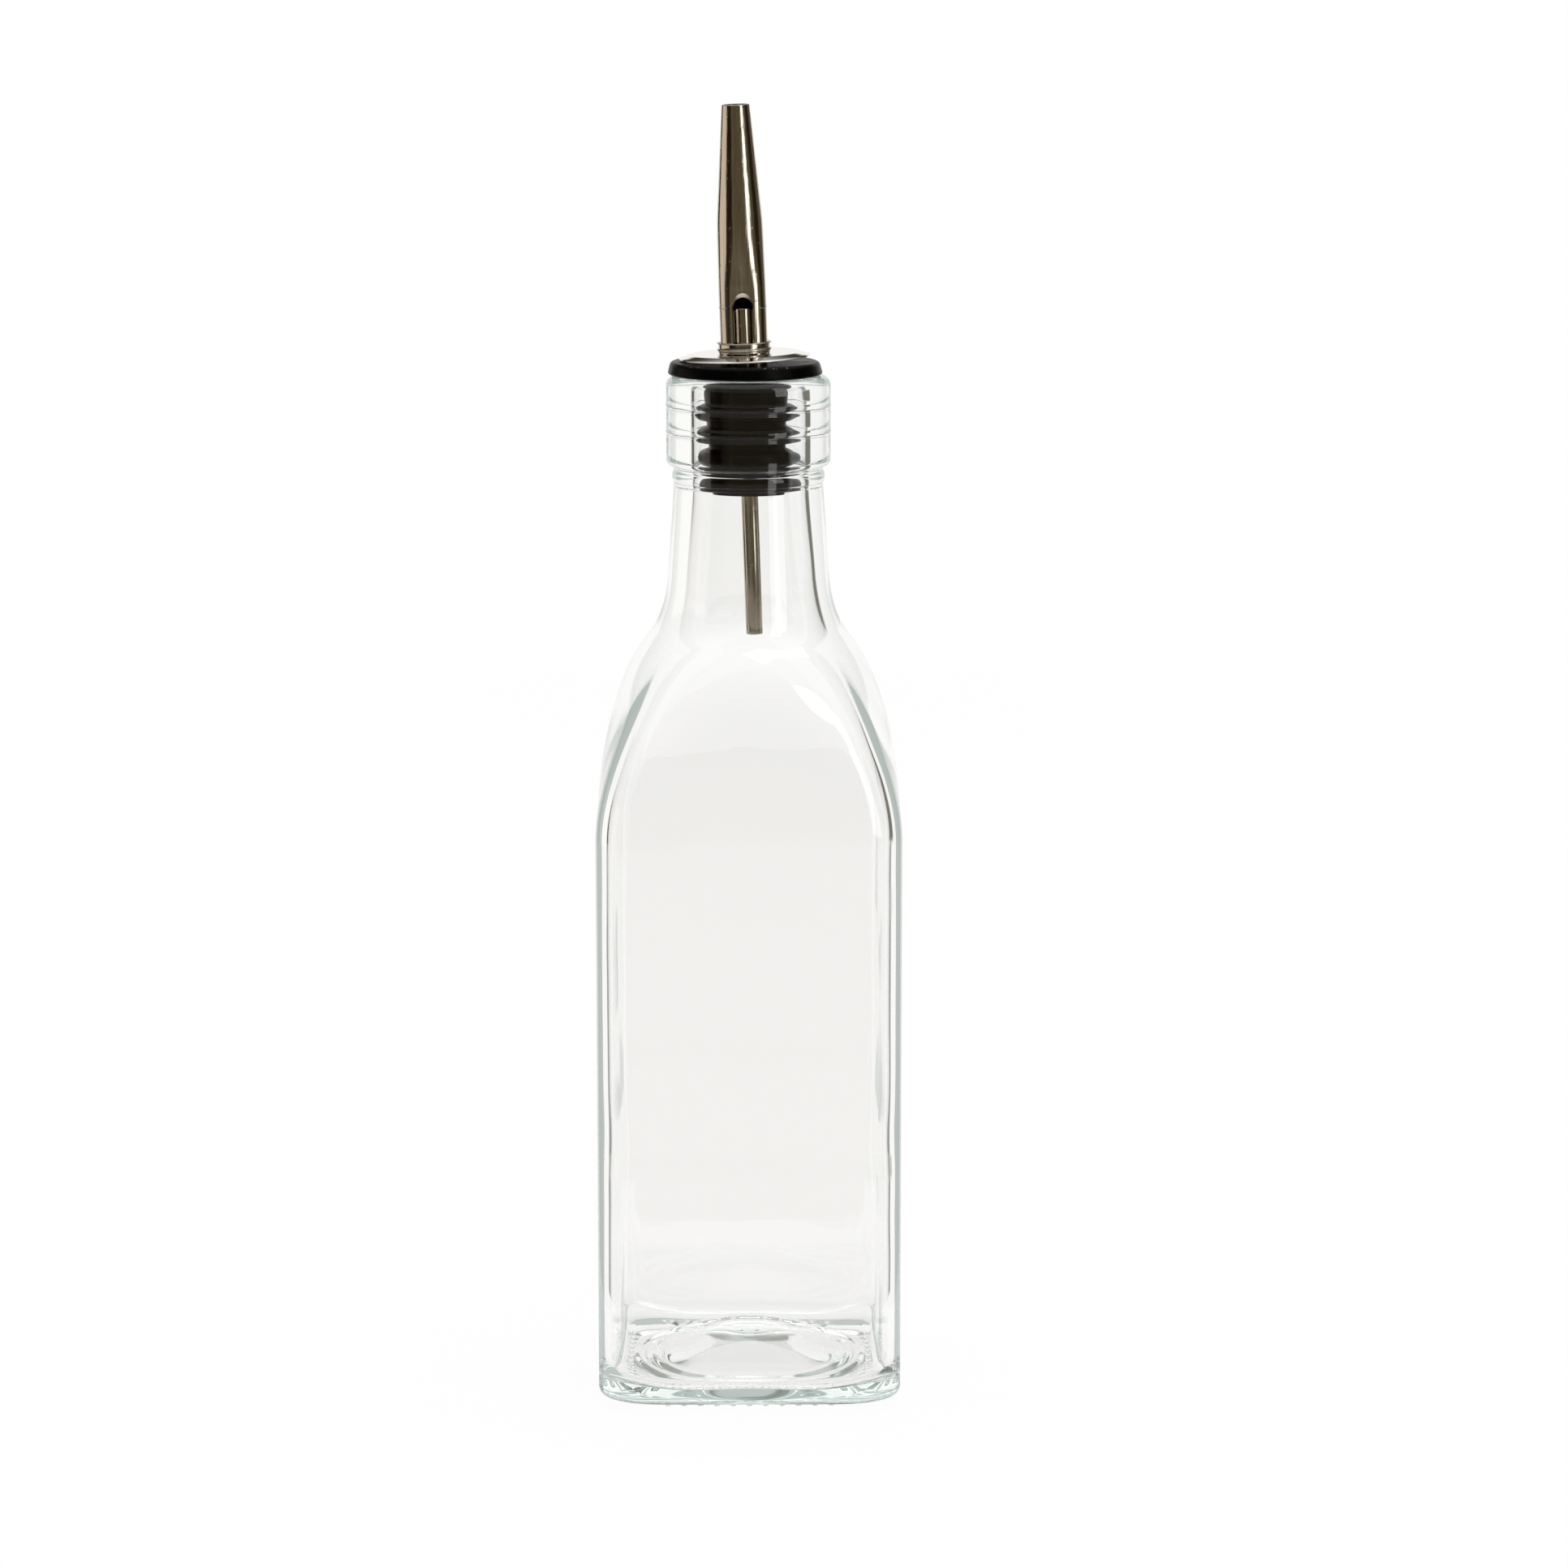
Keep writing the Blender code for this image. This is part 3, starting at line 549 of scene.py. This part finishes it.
def buildKnurlTree():
    graph, given = newTree("knurlRows", {
        "Count": "Int", "Pitch": "Float", "Out": "Float", "Size": "Vector", "Material": "Material",
    })
    shape = {"Segments": knurls["segments"], "Rings": knurls["rings"], "Radius": 0.5}
    ball = graph.add("GeometryNodeMeshUVSphere", None, shape, "Mesh")
    knurl = graph.add("GeometryNodeTransform", None, {"Geometry": ball, "Scale": given["Size"]})
    start = graph.vector((given["Count"] - 1) * given["Pitch"] * -0.5, 0.0, 0.0)
    step = graph.vector(given["Pitch"], 0.0, 0.0)
    row = graph.add("GeometryNodeMeshLine", {"mode": "OFFSET"}, {
        "Count": given["Count"], "Start Location": start, "Offset": step,
    })
    side = graph.add("GeometryNodeInstanceOnPoints", None, {"Points": row, "Instance": knurl})
    square = graph.add("GeometryNodeMeshCircle", None, {"Vertices": 4, "Radius": given["Out"]})
    quarter = graph.add("GeometryNodeInputIndex") * (math.pi / 2) + math.pi / 2
    turn = graph.vector(0.0, 0.0, quarter)
    rows = graph.add("GeometryNodeInstanceOnPoints", None, {
        "Points": square, "Instance": side, "Rotation": turn,
    })
    return endTree(graph, rows, given["Material"])


def makeBottle():
    b = bottle
    glass = glassMaterial()
    rings = outerRings(b) + innerRings(b)
    shell = skin("oilBottle", rings, glass, b["segments"], b["rippleAt"], b["ridgeAt"])
    row = place(bpy.data.objects.new("knurls", bpy.data.meshes.new("knurls")))
    k = knurls
    runTree(row, buildKnurlTree(), {
        "Count": k["count"], "Pitch": k["pitch"] * mm, "Out": k["out"] * mm,
        "Size": (k["width"] * mm, k["length"] * mm, k["height"] * mm), "Material": glass,
    })
    row.data.transform(Matrix.Translation((0, 0, k["height"] / 2 * mm)))
    cut(shell, row, operation="UNION")
    return finish(shell, glass)


# Cork: a turned core, with one rib repeated down the plug. The soft plug leans with the pourer.

lean = math.radians(2.0)
mouthHeight = neckHeights(bottle)[3]
cork = {
    "gap": 0.3, "plug": 8.45, "taper": 1.3, "length": 23.3, "flare": 0.9, "bore": 4.95, "pivotRise": 5.8,
    "flange": 15.2, "flangeInset": 0.35, "flangeHeight": 2.5, "flangeEdge": 0.85, "flangeFoot": 0.45,
    "ribs": 4, "ribDepth": 7.2, "ribPitch": 4.4, "ribReach": 10.2, "ribShrink": 0.014,
    "ribThickness": 3.1, "ribRound": 1.2, "ribRoot": 1.2, "plugEdge": 0.3, "segments": 160, "sharp": 50,
}
corkTop = mouthHeight + cork["gap"] + cork["flangeHeight"]
corkLow = mouthHeight + cork["gap"] - cork["length"]
pivot = corkLow + cork["pivotRise"]


def buildRibTree():
    graph, given = newTree("ribRow", {
        "Count": "Int", "Pitch": "Float", "Shrink": "Float", "Material": "Material",
    })
    down = graph.vector(0.0, 0.0, given["Pitch"] * -1)
    row = graph.add("GeometryNodeMeshLine", {"mode": "OFFSET"}, {"Count": given["Count"], "Offset": down})
    width = 1 - graph.add("GeometryNodeInputIndex") * given["Shrink"]
    values = {"Points": row, "Instance": given["Geometry"], "Scale": graph.vector(width, width, 1.0)}
    ribs = graph.add("GeometryNodeInstanceOnPoints", None, values)
    return endTree(graph, ribs, given["Material"])


def makeCork():
    c = cork
    rubber = rubberMaterial()
    seat = mouthHeight + c["gap"]
    edge, tipEdge, foot, flare = c["flangeEdge"], c["plugEdge"], c["flangeFoot"], c["flare"]
    outline = [(c["bore"], corkLow)]
    outline += arc((c["plug"] - c["taper"] - tipEdge, corkLow + tipEdge), (tipEdge, tipEdge), -90, 0, 5)
    outline += dense([outline[-1], (c["plug"], seat - flare)], 0.8)[1:]
    outline += arc((c["plug"] + flare, seat - flare), (flare, flare), 180, 90, 8)[1:]
    outline += arc((c["flange"] - foot, seat + foot), (foot, foot), -90, 0, 7)
    outline += arc((c["flange"] - c["flangeInset"] - edge, corkTop - edge), (edge, edge), 8, 90, 8)
    outline += [(c["bore"], corkTop), (c["bore"], corkLow)]
    core = turned("rubberCork", dense(outline, 1.0), rubber, c["segments"])
    top = seat - c["ribDepth"]
    root = c["plug"] - c["ribRoot"]
    thick, reach, tip = c["ribThickness"], c["ribReach"], c["ribRound"]
    rib = [(root, top - thick * 0.5), (reach - tip - 0.1, top - thick * 0.45)]
    rib += arc((reach - tip, top), (tip, thick * 0.44), -85, 60, 16)
    rib += [(root, top + thick * 0.62), (root, top - thick * 0.5)]
    ribs = turned("corkRibs", dense(rib, 0.8), rubber, c["segments"])
    runTree(ribs, buildRibTree(), {
        "Count": c["ribs"], "Pitch": c["ribPitch"] * mm, "Shrink": c["ribShrink"], "Material": rubber,
    })
    shear = Matrix.Identity(4)
    shear[0][2] = -math.tan(lean)
    shear[0][3] = math.tan(lean) * pivot * mm
    for piece in (core, ribs):
        piece.data.transform(shear)
        finish(piece, rubber, c["sharp"])
    return core, ribs


# Pourer: everything below is made upright about the pivot, then leaned

pourer = {
    "stem": 4.65, "wall": 0.6, "reach": 50.2, "mouth": 2.75, "rim": 0.18, "segments": 160,
    "cone": 23.0, "kneeDrop": 12.0, "kneeTaper": 0.15, "kneeBend": 2.2,
    "pressLow": 30.5, "pressHigh": 47.0, "pressDepth": 0.12, "pressPower": 2.8,
    "washer": 12.9, "washerBore": 4.95, "washerBevel": 2.1, "washerHeight": 0.9,
    "washerRim": 0.18, "washerEdge": 0.08, "washerSegments": 192,
    "collarGap": 0.15, "collarWall": 5.1, "collarBore": 4.8, "collarProud": 5.42, "collarHeight": 2.1,
    "collarSegments": 128, "airSegments": 72,
    "air": 1.65, "airWall": 0.5, "airRecess": 0.2, "airRise": 6.75, "airHang": 28.6,
    "grooveClearance": 0.35, "grooveWall": 0.9, "arch": (1.9, 2.2), "archLip": (0.3, 0.75, 0.5),
    "crimpHeight": 30.9, "crimpSag": 0.35, "crimpFrom": 42.0, "crimpTo": 84.0, "crimp": 0.09,
    "crimpSink": 0.03, "sharp": {"spout": 17, "washer": 35, "collar": 60, "air": 35},
}
airOffset = pourer["stem"] - pourer["air"] - pourer["airRecess"]
groove = pourer["air"] + pourer["grooveClearance"]
washerLow = (corkTop + cork["gap"] + pourer["washer"] * math.sin(lean) - pivot) / math.cos(lean)
collarLow = washerLow + pourer["washerHeight"] + pourer["collarGap"]
airTop = collarLow + pourer["collarHeight"] + pourer["airRise"]
airLow = (corkLow - pivot) / math.cos(lean) - pourer["airHang"]
spoutTop = (corkTop + pourer["reach"] - pivot - pourer["mouth"] * math.sin(lean)) / math.cos(lean)
archTop = airTop + pourer["arch"][1]
leaned = Matrix.Translation((0, 0, pivot * mm)) @ Matrix.Rotation(-lean, 4, "Y")


def pressing(z):  # the front is pressed flat beside the air tube, and rounds out again above it
    return 1 - eased((z - pourer["pressLow"]) / (pourer["pressHigh"] - pourer["pressLow"]))


def pressFront(piece, depth):
    power = pourer["pressPower"]
    for vertex in piece.data.vertices:
        x, y, z = vertex.co
        radius = math.hypot(x, y)
        if y < 0 and radius > 0.2 * mm:
            flat = -(1 - depth) * radius * max(0.0, 1 - (abs(x) / radius) ** power) ** (1 / power)
            vertex.co.y += pressing(z / mm) * (flat - y)


def spoutLine(inset, low, above):
    p = pourer
    knee = spoutTop - p["cone"]
    foot = (p["stem"] - inset, knee - p["kneeDrop"])
    kneeIn = (p["stem"] - p["kneeTaper"] - inset, knee)
    mouth = (p["mouth"] - inset, spoutTop)
    lower = (kneeIn[0] + 0.02, knee - p["kneeBend"])
    slope = (mouth[0] - kneeIn[0]) / p["cone"]
    upper = (kneeIn[0] + slope * p["kneeBend"], knee + p["kneeBend"])
    bend = link(lower, (kneeIn[0] - foot[0], p["kneeDrop"]), upper, (slope, 1.0), 8)
    end = (mouth[0] - slope * above, spoutTop - above)
    return [(p["stem"] - inset, low), foot, lower] + bend + [upper, end]


def makeSpout():
    p = pourer
    low = (corkLow + 1.0 - pivot) / math.cos(lean)
    rim = p["rim"]
    side = dense(spoutLine(0.0, low, rim), 0.35)
    outline = [(0.0, low)] + side
    outline += arc((side[-1][0] - rim, side[-1][1]), (rim, rim), 0, 90, 6)[1:] + [(0.0, spoutTop)]
    spout = turned("spout", outline, spoutSteel, p["segments"])
    pressFront(spout, p["pressDepth"])
    past = 5.0  # how far the cutters reach past the spout's ends
    inner = dense(spoutLine(p["wall"], low - past, 0.2), 0.35)
    flare = (p["mouth"] - p["wall"] + 0.2, spoutTop + 0.05)
    bore = [(0.0, low - past)] + inner + [flare, (flare[0], spoutTop + past), (0.0, spoutTop + past)]
    boreCutter = turned("boreCutter", bore, spoutSteel, p["segments"])
    pressFront(boreCutter, 1 - ((1 - p["pressDepth"]) * p["stem"] - p["wall"]) / (p["stem"] - p["wall"]))
    slide = Matrix.Translation((0, -airOffset * mm, 0))
    bars = []
    cutters = (("backWall", groove + p["grooveWall"], airTop + 0.4), ("grooveCutter", groove, archTop))
    for name, radius, high in cutters:
        line = [(0.0, low - 2 * past), (radius, low - 2 * past)]
        line += arc((0.0, high - radius), (radius, radius), 0, 90, 12)
        bar = turned(name, line, spoutSteel, 64)
        bar.data.transform(slide)
        bars.append(bar)
    cut(boreCutter, bars[0])
    face = (1 - p["pressDepth"]) * p["stem"]
    spread, rise, depth = p["archLip"]
    sections = []
    for y in (-airOffset + 1.0, -face + depth, -face - 3.0):  # the arch opens outwards through its lip
        out = max(0.0, -y - face + depth) / depth
        wide, high = p["arch"][0] + spread * out, p["arch"][1] + rise * out
        line = [(wide, low - 2 * past)] + arc((0.0, airTop), (wide, high), 0, 180, 32)
        line.append((-wide, low - 2 * past))
        sections.append([(x * mm, y * mm, z * mm) for x, z in line])
    count = len(sections[0])
    sides = []
    for row in range(2):
        for i in range(count):
            first, second = i + row * count, (i + 1) % count + row * count
            sides.append((first, second, second + count, first + count))
    mesh = bpy.data.meshes.new("slotCutter")
    mesh.from_pydata(sum(sections, []), [], [
        tuple(range(count))[::-1], tuple(range(2 * count, 3 * count)), *sides])
    slot = place(bpy.data.objects.new("slotCutter", mesh))
    cut(spout, boreCutter, bars[1], slot)
    finish(spout, spoutSteel, p["sharp"]["spout"])
    spout.data.materials.append(boreShadeSteel)
    spout.data.materials.append(lipSheenSteel)
    margin = 1.6  # the painted highlight on the satin cut edge lies within this many widths of the lip round the arch
    wide, high = p["arch"][0] + spread * margin, p["arch"][1] + rise * margin
    for polygon in spout.data.polygons:  # painted shade inside the bore and the groove, painted highlight on the satin cut edge round the arch
        x, y, z = polygon.center / mm
        way = polygon.normal
        inwards = way.x * x + way.y * y < -0.2 * math.hypot(x, y)
        nearGroove = math.hypot(x, y + airOffset) < groove + 0.05
        inGroove = nearGroove and y > -face + depth - 0.02 and z < archTop + 0.4
        inArch = (x / wide) ** 2 + ((z - airTop) / high) ** 2 < 1 and z > airTop - 0.3
        if inArch and y < -face + depth and (way.z < -0.25 or way.x * x < -0.3 * abs(x)):
            polygon.material_index = 2
        elif (inwards or inGroove) and z < spoutTop - 0.08 and not (nearGroove and z < airTop - 0.6):
            polygon.material_index = 1
    spout.data.transform(leaned)
    return spout


def buildBeadTree():
    graph, given = newTree("beadAlongEdge", {"Radius": "Float", "Sides": "Int", "Material": "Material"})
    path = graph.add("GeometryNodeMeshToCurve", None, {"Mesh": given["Geometry"]})
    profile = graph.add("GeometryNodeCurvePrimitiveCircle", {"mode": "RADIUS"}, {
        "Resolution": given["Sides"], "Radius": given["Radius"],
    }, "Curve")
    bead = graph.add("GeometryNodeCurveToMesh", None, {
        "Curve": path, "Profile Curve": profile, "Fill Caps": True,
    })
    return endTree(graph, bead, given["Material"])


def makeCrimps():  # two short creases where the pressed front begins, one at each side
    p = pourer
    lines = []
    steps = 14
    for side in (-1, 1):
        points = []
        for step in range(steps + 1):
            angle = math.radians(p["crimpFrom"] + (p["crimpTo"] - p["crimpFrom"]) * step / steps)
            z = p["crimpHeight"] - p["crimpSag"] * math.sin(math.pi * step / steps)
            x = math.sin(angle)
            flat = (1 - p["pressDepth"]) * (1 - x ** p["pressPower"]) ** (1 / p["pressPower"])
            y = math.cos(angle) + pressing(z) * (flat - math.cos(angle))
            out = p["stem"] - p["crimpSink"]
            points.append((side * x * out * mm, -y * out * mm, z * mm))
        mesh = bpy.data.meshes.new("crimp")
        mesh.from_pydata(points, [(i, i + 1) for i in range(len(points) - 1)], [])
        crimp = place(bpy.data.objects.new("crimp", mesh))
        lines.append(runTree(crimp, buildBeadTree(), {
            "Radius": p["crimp"] * mm, "Sides": 10, "Material": spoutSteel,
        }))
    crimps = lines[0]
    cut(crimps, lines[1], operation="UNION")
    crimps.data.transform(leaned)
    return finish(crimps, spoutSteel)


def makeWasher():
    p = pourer
    low, top = washerLow, washerLow + p["washerHeight"]
    flat = p["washer"] - p["washerBevel"]
    edge = p["washerEdge"]
    outline = [(p["washerBore"], low), (p["washer"] - edge, low)]
    outline += arc((p["washer"] - edge, low + edge), (edge, edge), -90, 0, 4)
    outline += [(p["washer"], low + p["washerRim"]), (p["washer"] - 0.1, low + p["washerRim"] + 0.09)]
    outline += [(flat + 0.12, top - 0.05), (flat - 0.1, top)]
    outline += [(p["washerBore"], top), (p["washerBore"], low)]
    washer = turned("washer", dense(outline, 0.8), discSheenSteel, p["washerSegments"])
    washer.data.transform(leaned)
    return finish(washer, discSheenSteel, p["sharp"]["washer"])


def makeCollar():
    p = pourer
    low, top = collarLow, collarLow + p["collarHeight"]
    wall, proud = p["collarWall"], p["collarProud"] - p["collarWall"]
    bore = p["collarBore"]
    outline = [(bore, low)] + arc((wall - 0.12, low + 0.2), (0.2, 0.2), -90, 90, 8)  # small lower bead
    outline += arc((wall + 0.02, low + 0.66), (proud - 0.02, 0.24), -90, 90, 10)  # upper bead
    outline += [(wall - 0.03, low + 0.96), (wall - 0.03, top - 0.34)]  # plain band
    outline += arc((wall + 0.12, top - 0.14), (proud - 0.12, 0.13), -80, 90, 8)  # thin lip turned out
    outline += [(bore + 0.06, top - 0.02), (bore, top - 0.1), (bore, low)]
    collar = turned("collar", outline, spoutSteel, p["collarSegments"])
    collar.data.transform(leaned)
    return finish(collar, spoutSteel, p["sharp"]["collar"])


def makeAirTube():
    p = pourer
    bore = p["air"] - p["airWall"]
    outline = [(bore, airLow)] + arc((p["air"] - 0.1, airLow + 0.1), (0.1, 0.1), -90, 0, 5)
    outline += arc((p["air"] - 0.12, airTop - 0.12), (0.12, 0.12), 0, 90, 6)
    outline += [(bore, airTop), (bore, airLow)]
    tube = turned("airTube", dense(outline, 1.2), tubeSteel, p["airSegments"])
    tube.data.transform(leaned @ Matrix.Translation((0, -airOffset * mm, 0)))
    return finish(tube, tubeSteel, p["sharp"]["air"])


oilBottle = makeBottle()
print(f"bottle made, {len(oilBottle.data.polygons)} faces")
corkCore, corkRibs = makeCork()
print("cork made")
spout = makeSpout()
crimps = makeCrimps()
washer, collar, airTube = makeWasher(), makeCollar(), makeAirTube()
print(f"pourer made, {len(spout.data.polygons)} faces in the spout")

rides = {
    "bottle": {oilBottle: ("glass_bottle", "clear_glass")},
    "stopper": {corkCore: ("rubber_cork", "black_rubber"), corkRibs: (None, "black_rubber")},
    "pourer": {
        spout: ("spout", "polished_steel"), crimps: (None, "polished_steel"),
        washer: ("washer", "polished_steel"), collar: ("collar", "polished_steel"),
        airTube: ("air_tube", "polished_steel"),
    },
}
for body, members in rides.items():
    for piece, (node, slot) in members.items():
        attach(piece, body)
        if node:
            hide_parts(node)


# Studio: a pale floor, a painted room for reflections, two soft lamps and the camera

studio = {
    "table": (0.1, -0.06, 0.9), "tableDrop": 0.0001,  # half width, front, back and drop in metres
    "tableColour": (0.86, 0.86, 0.86, 1.0), "tableRough": 0.6, "tableSpecular": 0.1,
    "whiteSeen": 0.97, "whiteThrough": 0.76, "seenThrough": (1.0, 0.99, 0.975),
    "room": (0.115, 0.095, 0.058), "ceiling": (0.95, 0.94, 0.92), "upperSides": (0.05, 0.045, 0.035),
    "cards": (  # from, to and colour, in degrees round the bottle, 0 behind the camera, 90 at its right
        (-150, -128, (0.01, 0.008, 0.006)), (-123, -75, (0.88, 0.77, 0.66)),
        (-73, -38, (0.02, 0.012, 0.006)),
        (-36, -29, (0.17, 0.14, 0.09)), (78, 108, (0.02, 0.015, 0.008)), (114, 143, (0.14, 0.12, 0.09)),
    ),
    "cardSoft": 2, "besideSoft": 3,
    "lowFront": (0.34, 0.31, 0.28), "lowAt": (-11, -9), "upperAt": (10, 16),  # edges in degrees of height
    "backdrop": 37, "backdropTop": (14, 20), "ceilingAt": (24, 60), "roomBehind": (80, 95),
    "besideSeen": (  # what the glass shows: from and to round from the back, lowest, highest and colour
        (-86, -60, -10, 60, (0.03, 0.026, 0.022)), (47, 80, -10, 60, (0.16, 0.15, 0.125)),
        (-80, -58, -24, -10, (0.30, 0.31, 0.30)), (58, 80, -24, -10, (0.30, 0.31, 0.30)),
    ),
    "stripTurn": 46, "stripAway": 1.35, "stripSize": (0.4, 1.3), "stripMiddle": 0.72, "stripPower": 3.9,
    "topSize": (1.2, 1.2), "topOver": (0.1, 0.15), "topHeight": 1.7, "topPower": 18.0, "topAim": 0.1,
    "camera": (0.0, -1.0, 0.304), "lens": 117.0, "aimHeight": 0.128,  # places and sizes above in metres
    "photoSize": 1932, "aimPixel": (922, 925.5),
}


def makeFloor():
    s = studio
    mesh = bpy.data.meshes.new("floor")
    wide, front, back = s["table"]
    ring = [(-wide, front, 0.0), (wide, front, 0.0), (wide, back, 0.0), (-wide, back, 0.0)]
    mesh.from_pydata(ring, [], [(0, 1, 2, 3)])
    floor = place(bpy.data.objects.new("floor", mesh))
    floor.location.z = -s["tableDrop"]
    made, graph = newMaterial("paleFloor")
    surface = graph.add("ShaderNodeBsdfPrincipled", None, {
        "Base Color": s["tableColour"], "Roughness": s["tableRough"],
        "Specular IOR Level": s["tableSpecular"],
    })
    path = graph.add("ShaderNodeLightPath", None, None, "Is Camera Ray")
    colour = graph.tint(path, (*s["seenThrough"], 1.0), (1.0, 1.0, 1.0, 1.0))
    white = graph.add("ShaderNodeEmission", None, {"Color": colour, "Strength": 1.0})
    share = path * s["whiteSeen"] + path.output("Is Transmission Ray") * s["whiteThrough"]
    mixed = graph.add("ShaderNodeMixShader", None, {"Fac": share, 1: surface, 2: white})
    graph.add("ShaderNodeOutputMaterial", None, {"Surface": mixed})
    mesh.materials.append(made)


def makeWorld():
    s = studio
    world = bpy.data.worlds.new("studioRoom")
    bpy.context.scene.world = world
    world.use_nodes = True
    world.node_tree.nodes.clear()
    graph = Graph(world.node_tree)
    way = graph.add("ShaderNodeTexCoord", None, None, "Generated")
    x = graph.add("ShaderNodeSeparateXYZ", None, {"Vector": way}, "X")
    y, z = x.output("Y"), x.output("Z")
    front = x.maths("ARCTAN2", y * -1) * (180 / math.pi)  # 0 behind the camera, positive to the right
    back = x.maths("ARCTAN2", y) * (180 / math.pi)  # 0 behind the bottle
    high = z.maths("ARCSINE") * (180 / math.pi)
    colour = (*s["room"], 1.0)
    soft = s["cardSoft"]
    for low, top, card in s["cards"]:
        colour = graph.tint(graph.band(front, low, top, soft), colour, (*card, 1.0))
    colour = graph.tint(1 - graph.ease(high, *s["lowAt"]), colour, (*s["lowFront"], 1.0))
    colour = graph.tint(graph.ease(high, *s["upperAt"]), colour, (*s["upperSides"], 1.0))
    backdrop = graph.band(back, -s["backdrop"], s["backdrop"], soft)
    backdrop = backdrop * (1 - graph.ease(high, *s["backdropTop"]))
    white = backdrop.maths("MAXIMUM", graph.ease(high, *s["ceilingAt"]))
    colour = graph.tint(white, colour, (*s["ceiling"], 1.0))
    path = graph.add("ShaderNodeLightPath", None, None, "Is Camera Ray")
    through = (*s["seenThrough"], 1.0)
    for low, top, lowest, highest, card in s["besideSeen"]:
        cover = graph.band(back, low, top, s["besideSoft"]) * graph.band(high, lowest, highest, soft)
        through = graph.tint(cover, through, (*card, 1.0))
    bounced = (path.output("Glossy Depth") + path.output("Diffuse Depth")).maths("GREATER_THAN", 0.5)
    roomSeen = bounced * graph.ease(back.maths("ABSOLUTE"), *s["roomBehind"])  # seen by steel and rubber
    colour = graph.tint(path.output("Is Transmission Ray") * (1 - roomSeen), colour, through)
    colour = graph.tint(path, colour, (1.0, 1.0, 1.0, 1.0))
    room = graph.add("ShaderNodeBackground", None, {"Color": colour, "Strength": 1.0})
    graph.add("ShaderNodeOutputWorld", None, {"Surface": room})


def makeLamp(name, size, power, where, target):
    lamp = bpy.data.lights.new(name, "AREA")
    lamp.shape = "RECTANGLE"
    lamp.size, lamp.size_y = size
    lamp.energy = power
    holder = place(bpy.data.objects.new(name, lamp))
    holder.location = where
    holder.rotation_euler = (Vector(target) - Vector(where)).to_track_quat("-Z", "Y").to_euler()
    holder.visible_camera = False
    return holder


def makeCamera():
    s = studio
    camera = bpy.data.cameras.new("camera")
    camera.sensor_width = 36.0
    camera.lens = s["lens"]
    holder = place(bpy.data.objects.new("camera", camera))
    spot = Vector(s["camera"])
    focal = s["lens"] / camera.sensor_width * s["photoSize"]  # in pixels of the photograph's frame
    middle = s["photoSize"] / 2
    aim = Vector((0, 0, s["aimHeight"])) - spot
    across = math.atan2(middle - s["aimPixel"][0], focal)
    up = math.atan2((middle - s["aimPixel"][1]) * math.cos(across), focal)
    pitch = math.atan2(aim.z, math.hypot(aim.x, aim.y)) - up
    holder.location = spot
    holder.rotation_euler = (math.pi / 2 + pitch, 0.0, -across)
    camera.clip_start = 0.01
    bpy.context.scene.camera = holder


makeFloor()
makeWorld()
turn, away, middle = math.radians(studio["stripTurn"]), studio["stripAway"], studio["stripMiddle"]
stripPlace = (away * math.sin(turn), -away * math.cos(turn), middle)
makeLamp("stripBox", studio["stripSize"], studio["stripPower"], stripPlace, (0, 0, middle))
topPlace = (*studio["topOver"], studio["topHeight"])
topBox = makeLamp("topBox", studio["topSize"], studio["topPower"], topPlace, (0, 0, studio["topAim"]))
topBox.visible_glossy = False
makeCamera()
bpy.context.scene.view_settings.view_transform = "Standard"
print("studio made")
